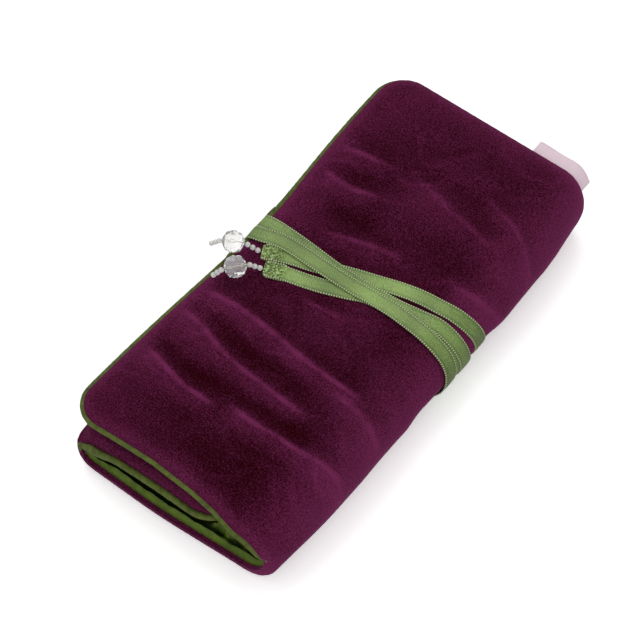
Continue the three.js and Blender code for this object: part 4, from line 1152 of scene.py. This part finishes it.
class ROLL_OT_ribbons(bpy.types.Operator):
    """Two satin ribbons wound twice round the roll, each with a gathered hem at its end."""

    bl_idname = "roll.ribbons"
    bl_label = "Ribbons"

    def execute(self, context):
        trim = settings_of(context).trim
        paint = paint_named("ribbon_satin", ribbon_paint, trim)
        for letter, (keys, layers) in RIBBONS.items():
            self.ribbon(letter, keys, layers, trim, paint)
        return {"FINISHED"}

    def ribbon(self, letter, keys, layers, trim, paint):
        """Flat band swept along the route, bowed a little.

        Over the hem it is wider, thicker and crumpled, and it narrows in an arc at its tip."""
        width, thick, hem = trim.ribbon_width / MM, trim.ribbon_thickness / MM, trim.hem / MM
        run, line, out = ribbon_route(keys, layers, width)
        forward = unit(np.gradient(line, axis=0))
        across = unit(np.cross(out, forward))
        up = np.cross(forward, across)
        left = run[-1] - run
        gather = smooth((hem + 1.0 - left) / 2.5)
        tip = np.sqrt(np.clip(1 - (1 - np.clip(left / 2.2, 0, 1)) ** 2, 0.08, 1))
        half = width / 2 * (1 + 0.12 * gather) * mix(0.72, 1.0, tip)
        body = thick * (1 + 1.6 * gather)
        v = np.linspace(-1, 1, 11)
        ring_v = np.concatenate([v, v[::-1]])
        side = np.concatenate([np.full(11, 1.0), np.full(11, 0.0)])
        down = run[:, None]
        crumple = np.sin(down * 2.6 + 2.2 * np.sin(ring_v * 4)) * np.cos(ring_v * 5 + down * 0.9)
        bow = 0.22 * (1 - ring_v**2) * (0.6 + 0.4 * np.sin(down * 0.09 + 1.0))
        rise = body[:, None] * side + bow + 0.35 * gather[:, None] * crumple * side
        aside = half[:, None] * ring_v
        rings = line[:, None] + across[:, None] * aside[..., None] + up[:, None] * rise[..., None]
        shape = tube(rings, run)
        columns = len(ring_v)
        around = np.concatenate([ring_v, ring_v[:1]])
        corner_v = np.rint(shape["corners"][:, 1] * columns).astype(int)
        shape["corners"][:, 1] = around[np.clip(corner_v, 0, columns)]
        # Painted light: lighter where the ribbon faces up and in a painted highlight band over the top near X
        # 14, painted shade where it turns over a fold.
        facing = 0.12 + 0.34 * np.clip(out[:, 2], 0, 1) + 0.24 * hump(line[:, 0] - 14, 20)
        spread = {"hem": gather, "facing": facing}
        values = {key: np.concatenate([np.repeat(a, columns), a[[0, -1]]]) for key, a in spread.items()}
        ribbon = make_piece(
            f"ribbon_band_{letter}", shape, paint, "top_flap", [f"ribbon_{letter}"],
            values=values, sharp=60,
        )
        run[-1] * MM
        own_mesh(ribbon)


def node_box(name):
    """Low and high corners of a CAD node, in roll millimetres."""
    return [np.array(corner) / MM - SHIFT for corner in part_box(name)]


def node_middle(name):
    """Middle of a turned CAD bead, in roll millimetres."""
    low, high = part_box(name)
    return np.array((low + high) / 2) / MM - SHIFT


def lathe(profile, sides, twist=0.0):
    """Rings of a profile of (radius, along) about +Z; twist turns every other ring by a share of a side."""
    radius, along = np.transpose(profile)
    turn = (np.arange(sides)[None] + twist * (np.arange(len(radius))[:, None] % 2)) * 2 * math.pi / sides
    flat = np.broadcast_to(along[:, None], turn.shape)
    return np.stack([radius[:, None] * np.cos(turn), radius[:, None] * np.sin(turn), flat], -1)


def aimed(rings, at, direction):
    """Rings about +Z turned to a direction and moved to a point."""
    turn = Vector((0, 0, 1)).rotation_difference(Vector(direction)).to_matrix()
    return rings @ np.array(turn).T + at


class ROLL_OT_drops(bpy.types.Operator):
    """A bead drop on each ribbon: thread, seed beads and a faceted crystal."""

    bl_idname = "roll.drops"
    bl_label = "Bead Drops"

    def execute(self, context):
        beads = settings_of(context).beads
        cut = ("clear_crystal", beads.crystal_tint, 0.0, CRYSTAL_CLEAR)
        round_glass = ("clear_seed", beads.seed_tint, 0.03, SEED_CLEAR)
        crystal, seed = (paint_named(look[0], glass_paint, *look) for look in (cut, round_glass))
        thread = paint_named("beading_thread", thread_paint)
        for letter in "ab":
            self.drop(letter, beads, crystal, seed, thread)
        return {"FINISHED"}

    def drop(self, letter, beads, crystal_look, seed_look, thread_look):
        body = f"drop_{letter}"
        seeds = [node_middle(f"{body}_seed_{i}") for i in range(1, 7)]
        centre = node_middle(f"{body}_crystal")
        axis = seeds[5] - seeds[3]
        axis = np.array([axis[0], axis[1], 0]) / np.hypot(axis[0], axis[1])
        self.crystal(body, centre, axis, beads, crystal_look)
        for i, at in enumerate(seeds):
            first = 0 if i < 3 else 3
            direction = seeds[first + 2] - seeds[first]
            self.seed(f"{body}_bead_{i + 1}", f"{body}_seed_{i + 1}", body, at, direction, beads, seed_look)
        begin, finish = 1.5 * seeds[0] - 0.5 * seeds[1], 1.5 * seeds[5] - 0.5 * seeds[4]
        reach = beads.crystal / MM * 0.5
        way = np.array([begin, *seeds[:3], centre - axis * reach, centre + axis * reach, *seeds[3:], finish])
        self.thread(body, way, thread_look)

    def crystal(self, body, centre, axis, beads, look):
        """Faceted bead: rings of nine, each turned half a side on the last, so triangles meet like facets."""
        d = beads.crystal / MM
        profile = [(0.15, -0.46), (0.4, -0.31), (0.495, 0.0), (0.4, 0.31), (0.15, 0.46)]
        rings = aimed(lathe([(r * d, a * d) for r, a in profile], 9, 0.5), centre, axis)
        rows, columns = rings.shape[:2]
        quads = grid_quads(rows, columns, wrap=True)
        odd = (np.arange(len(quads)) // columns) % 2 == 1
        split = np.where(
            odd[:, None],
            np.concatenate([quads[:, [0, 1, 2]], quads[:, [0, 2, 3]]], -1),
            np.concatenate([quads[:, [0, 1, 3]], quads[:, [1, 2, 3]]], -1),
        ).reshape(-1, 3)
        shape = {"points": ring_points(rings), "triangles": np.concatenate([split, end_fans(rows, columns)])}
        make_piece(f"{body}_faceted", shape, look, body, [f"{body}_crystal"], flat=True)

    def seed(self, name, node, body, at, direction, beads, look):
        """Smooth rounded ring bead: a superellipse profile turned about the thread."""
        r, half = beads.seed / MM / 2, beads.seed_length / MM / 2
        t = np.linspace(-math.pi / 2, math.pi / 2, 11)
        radius = r * (0.35 + 0.65 * np.cos(t) ** 0.6)
        along = half * np.sin(t)
        rings = aimed(lathe(np.stack([radius, along], -1), 18), at, unit(direction))
        make_piece(name, tube(rings, along), look, body, [node], sharp=50)

    def thread(self, body, way, look):
        """Thin twisted thread through the beads."""
        run = run_along(way)
        even = np.linspace(0, run[-1], 60)
        line = softened(at_runs(even, run, way), 1)
        forward = unit(np.gradient(line, axis=0))
        side = unit(np.cross(forward, [0, 0, 1]))
        over = np.cross(side, forward)
        turn = np.arange(8) * math.pi / 4
        rings = line[:, None] + THREAD_RADIUS * (
            side[:, None] * np.cos(turn)[None, :, None] + over[:, None] * np.sin(turn)[None, :, None]
        )
        make_piece(f"{body}_cord", tube(rings, even), look, body, [f"{body}_thread"])


# ---------------------------------------------------------------- mat

# Rows and columns of points on each face of a padded piece.
PAD_GRIDS = {
    "top_flap": (100, 320), "right_fold": (60, 240), "base": (70, 240), "left_fold": (36, 200),
    "inner_flap": (64, 200),
}


class ROLL_OT_panels(bpy.types.Operator):
    """Padded velvet halves and satin lining halves of the five segments."""

    bl_idname = "roll.panels"
    bl_label = "Velvet and Lining"

    def execute(self, context):
        cloth = settings_of(context).cloth
        velvet = paint_named("plum_velvet", velvet_paint, cloth)
        lining = paint_named("green_satin", lining_paint, cloth)
        for segment in SEGMENTS:
            self.half(segment, True, cloth, velvet)
            self.half(segment, False, cloth, lining)
        return {"FINISHED"}

    def half(self, segment, outer, cloth, paint):
        """Half of the padding, from its face to the seam's level, over the segment's rounded outline."""
        s, y = segment.grid(*PAD_GRIDS[segment.name], velvet_tuck(segment) if outer else lining_tuck)
        if outer:
            depth, pile = velvet_depth(segment, s, y, cloth)
            # Tone with painted highlight and shade for the velvet's colour.
            values = {"pile": np.tile(pile.ravel(), 2)}
            inner = velvet_lip(segment, s, y)
            name, nodes, slot = "velvet_pad", ("velvet", "wadding"), "velvet"
        else:
            depth, hollow = lining_depth(segment, s, y, cloth)
            # Painted shade in the lining's hollows.
            values = {"hollow": np.tile(hollow.ravel(), 2)}
            inner = SEAM + 0 * s
            name, nodes, slot = "lining_pad", ("lining",), "lining"
        shape = slab(segment.folded(s, y, inner), segment.folded(s, y, depth))
        nodes = [f"{segment.name}_{node}" for node in nodes]
        name = f"{segment.name}_{name}"
        piece = make_piece(name, shape, paint, segment.body, nodes, values=values, sharp=45)
        fold_flat(piece, segment)


def fold_flat(piece, segment):
    """A fold's pieces get a mesh of their own."""
    if segment.joint:
        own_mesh(piece)


class ROLL_OT_piping(bpy.types.Operator):
    """Satin piping round every edge of the mat."""

    bl_idname = "roll.piping"
    bl_label = "Piping"

    def execute(self, context):
        cloth = settings_of(context).cloth
        paint = paint_named("piping_satin", piping_paint, cloth)
        for segment in (BASE, RIGHT_FOLD, LEFT_FOLD):
            for end, side in (("near", -1), ("far", 1)):
                s = np.linspace(segment.start, segment.end, 61)
                node = f"{segment.name}_piping_{end}"
                self.cord(segment, node, s, side * MAT_HALF + 0 * s, 0 * s, side + 0 * s, paint)
        for segment in (TOP_FLAP, INNER_FLAP):
            self.cord(segment, f"{segment.name}_piping", *self.flap_edge(segment), paint)
        return {"FINISHED"}

    def flap_edge(self, segment):
        """Rounded outline of a flap and its outward direction: side, corner, free edge, corner, side."""
        r, straight = CORNER_RADIUS, segment.free - CORNER_RADIUS
        side = np.linspace(0, straight, 50)
        turn = np.linspace(0, math.pi / 2, 14)[1:-1]
        edge = np.linspace(-(MAT_HALF - r), MAT_HALF - r, 150)
        cos, sin = np.cos(turn), np.sin(turn)
        stretches = (
            (side, straight + r * sin, segment.free + 0 * edge, straight + r * cos, side[::-1]),
            (
                -MAT_HALF + 0 * side, -(MAT_HALF - r) - r * cos, edge, MAT_HALF - r + r * sin,
                MAT_HALF + 0 * side,
            ),
            (0 * side, sin, 1 + 0 * edge, cos, 0 * side),
            (-1 + 0 * side, -cos, 0 * edge, sin, 1 + 0 * side),
        )
        return [np.concatenate(parts) for parts in stretches]

    def cord(self, segment, node, s, y, out_s, out_y, paint):
        """Round section carried along the outline at the seam's level, a little uneven where it is sewn."""
        turn = np.arange(16) * math.pi / 8
        run = run_along(segment.folded(s, y, SEAM + 0 * s))
        uneven = 1 + 0.035 * np.sin(run * 1.7 + np.sin(run * 0.31) * 3)
        radius = PIPING_RADIUS * uneven[:, None]
        out = PIPING_OFFSET + radius * np.cos(turn)
        level = SEAM - radius * np.sin(turn)
        rings = segment.folded(s[:, None] + out_s[:, None] * out, y[:, None] + out_y[:, None] * out, level)
        name = node.replace("piping", "piping_cord")
        piece = make_piece(name, tube(rings, run), paint, segment.body, [node], sharp=60)
        fold_flat(piece, segment)


class ROLL_OT_label(bpy.types.Operator):
    """Bare woven label sewn into the far end beside the right fold."""

    bl_idname = "roll.label"
    bl_label = "Label"

    def execute(self, context):
        trim = settings_of(context).trim
        paint = paint_named("label_weave", label_paint, trim)
        run = np.linspace(0, LABEL_LENGTH, 63)[:, None]
        y = np.linspace(MAT_HALF + 0.5, ROLL_LENGTH / 2 + CLEARANCE + LABEL_REACH, 21)[None, :]
        share = (y - y.min()) / (y.max() - y.min())
        curl = 0.25 * np.sin(run * 0.35 + 0.6) * share + 0.3 * share**2
        thick = LABEL_HALF_THICKNESS * np.sqrt(1 - np.clip((share - 0.9) / 0.1, 0, 0.97) ** 2)
        faces = [self.sheet(run, y, curl + side * thick) for side in (-1, 1)]
        shape = slab(*faces, run, share * 2 - 1)
        piece = make_piece("label_loop", shape, paint, "base", ["label"], sharp=50)
        fold_flat(piece, RIGHT_FOLD)
        return {"FINISHED"}

    def sheet(self, run, y, depth):
        """Flat over the top, then round the fold about its centre line, depth outwards."""
        radius = RIGHT_RADIUS - SEAM + depth
        turned_by = math.pi / 2 - np.maximum(0, run - LABEL_FLAT) / (RIGHT_RADIUS - SEAM)
        x = RIGHT_X - np.maximum(0, LABEL_FLAT - run) + radius * np.cos(turned_by)
        return waist(x, y, RIGHT_RADIUS + radius * np.sin(turned_by))


class ROLL_OT_pockets(bpy.types.Operator):
    """Satin pocket on the base and slip pocket on the top flap."""

    bl_idname = "roll.pockets"
    bl_label = "Pockets"

    def execute(self, context):
        cloth = settings_of(context).cloth
        paint = paint_named("green_satin", lining_paint, cloth)
        low, high = node_box("pocket_panel")
        base = self.panel("pocket_cloth", "pocket_panel", BASE, low[0] - LEFT_X, high[0] - LEFT_X, paint)
        end = SLIP_POCKET_START + SLIP_POCKET_DEPTH
        slip = self.panel("slip_pocket_cloth", "top_flap_pocket", TOP_FLAP, SLIP_POCKET_START, end, paint)
        return {"FINISHED"}

    def panel(self, name, node, segment, start, end, paint):
        """Sewn cloth just off the lining: puckers along the sewn edges, and on the top flap a hem roll at the
        open edge.
        """
        half = MAT_HALF - POCKET_MARGIN
        t = np.linspace(0, 1, 41)[:, None]
        s = mix(start, end, t)
        y = np.linspace(-half, half, 121)[None, :]
        sewn = np.minimum(half - abs(y), np.minimum(s - start, end - s))
        pucker = 0.12 * np.sin(y * 1.1 + s * 0.7) * hump(sewn - 1.5, 2.0) + 0.1 * swell(2 * s, 1.5 * y)
        near = PANEL_THICKNESS + CLEARANCE
        lift = 0.5 * hump(s - end + 1.2, 1.0) if segment is TOP_FLAP else 0.0
        top = near + CLOTH_THICKNESS + pucker * smooth(sewn / 2) + lift
        grids = [segment.folded(s + 0 * n, y + 0 * n, n) for n in (near + 0 * pucker, top)]
        return make_piece(name, slab(*grids), paint, segment.body, [node], sharp=50)


class ROLL_OT_zip(bpy.types.Operator):
    """Zip of the base pocket: woven tapes, rows of teeth, and brass on the stops, slider and pull."""

    bl_idname = "roll.zip"
    bl_label = "Zip"

    def execute(self, context):
        trim = settings_of(context).trim
        tape = paint_named("zip_tape_twill", tape_paint, trim)
        brass = paint_named("zip_brass", metal_paint, trim)
        for side in ("left", "right"):
            self.tape(side, tape)
            self.teeth(side, brass)
        for node in ("zip_stop_near", "zip_stop_far", "zip_slider", "zip_pull"):
            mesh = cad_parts[node].data
            mesh.materials.clear()
            mesh.materials.append(brass)
        return {"FINISHED"}

    def tape(self, side, paint):
        """Thin woven strip with a stitched line near its outer edge."""
        low, high = node_box(f"zip_tape_{side}")
        x = np.linspace(low[0], high[0], 13)[:, None]
        y = np.linspace(low[1], high[1], 161)[None, :]
        share = (x - low[0]) / (high[0] - low[0])
        sewn = share if side == "right" else 1 - share
        dip = 0.12 * hump(sewn - 0.75, 0.08) * (0.6 + 0.4 * np.sin(2 * math.pi * y / 2.4))
        grids = [np.stack(np.broadcast_arrays(x, y, z + 0 * y), -1) for z in (low[2] + 0 * x, high[2] - dip)]
        shape = slab(*grids, y, share * 2 - 1)
        make_piece(f"zip_cloth_{side}", shape, paint, "base", [f"zip_tape_{side}"], sharp=50)

    def teeth(self, side, paint):
        """One tooth, a block with chamfered top, repeated at an even pitch."""
        low, high = node_box(f"zip_teeth_{side}")
        count = int((high[1] - low[1]) / TOOTH_PITCH)
        stagger = TOOTH_STAGGER if side == "left" else -TOOTH_STAGGER
        start = (low[1] + high[1]) / 2 - TOOTH_PITCH * (count - 1) / 2 + stagger
        level = np.array([(1.0, 0.0), (1.0, 0.62), (0.72, 1.0)])
        around = np.array([(-1, -1), (1, -1), (1, 1), (-1, 1)])
        half = np.array([(high[0] - low[0]) / 2, TOOTH_HALF])
        flat = (low[:2] + high[:2]) / 2 * [1, 0] + around[None] * half * level[:, :1, None]
        up = np.broadcast_to(mix(low[2], high[2], level[:, 1])[:, None, None], (3, 4, 1))
        block = np.concatenate([flat, up], -1).reshape(-1, 3)
        sides = grid_quads(3, 4, wrap=True)
        one = np.concatenate([sides, [[3, 2, 1, 0]], [[8, 9, 10, 11]]])
        shift = np.zeros((count, 1, 3))
        shift[:, 0, 1] = start + TOOTH_PITCH * np.arange(count)
        shape = {
            "points": (block[None] + shift).reshape(-1, 3),
            "quads": (one[None] + 12 * np.arange(count)[:, None, None]).reshape(-1, 4),
        }
        name, nodes = f"zip_teeth_row_{side}", [f"zip_teeth_{side}"]
        make_piece(name, shape, paint, "base", nodes, flat=True)


class ROLL_PT_panel(bpy.types.Panel):
    """The roll's makers in the sidebar."""

    bl_label = "Jewellery Roll"
    bl_idname = "ROLL_PT_panel"
    bl_space_type = "VIEW_3D"
    bl_region_type = "UI"
    bl_category = "Roll"

    def draw(self, context):
        for maker in MAKERS:
            self.layout.operator(maker.bl_idname)
        settings = settings_of(context)
        for group in (settings.cloth, settings.trim, settings.beads, settings.stage):
            column = self.layout.column(align=True)
            for key in group.__annotations__:
                column.prop(group, key)


MAKERS = (
    ROLL_OT_stage, ROLL_OT_drops, ROLL_OT_ribbons, ROLL_OT_panels, ROLL_OT_piping, ROLL_OT_label,
    ROLL_OT_pockets, ROLL_OT_zip,
)
CLASSES = (RollCloth, RollTrim, RollBeads, RollStage, RollSettings, *MAKERS, ROLL_PT_panel)


def register():
    for cls in CLASSES:
        bpy.utils.register_class(cls)
    bpy.types.Scene.jewellery_roll = PointerProperty(type=RollSettings)


def unregister():
    del bpy.types.Scene.jewellery_roll
    for cls in reversed(CLASSES):
        bpy.utils.unregister_class(cls)


def main():
    register()
    bpy.ops.roll.stage()
    bpy.ops.roll.drops()
    bpy.ops.roll.ribbons()
    bpy.ops.roll.panels()
    bpy.ops.roll.piping()
    bpy.ops.roll.label()
    bpy.ops.roll.pockets()
    bpy.ops.roll.zip()


if __name__ == "__main__":
    main()
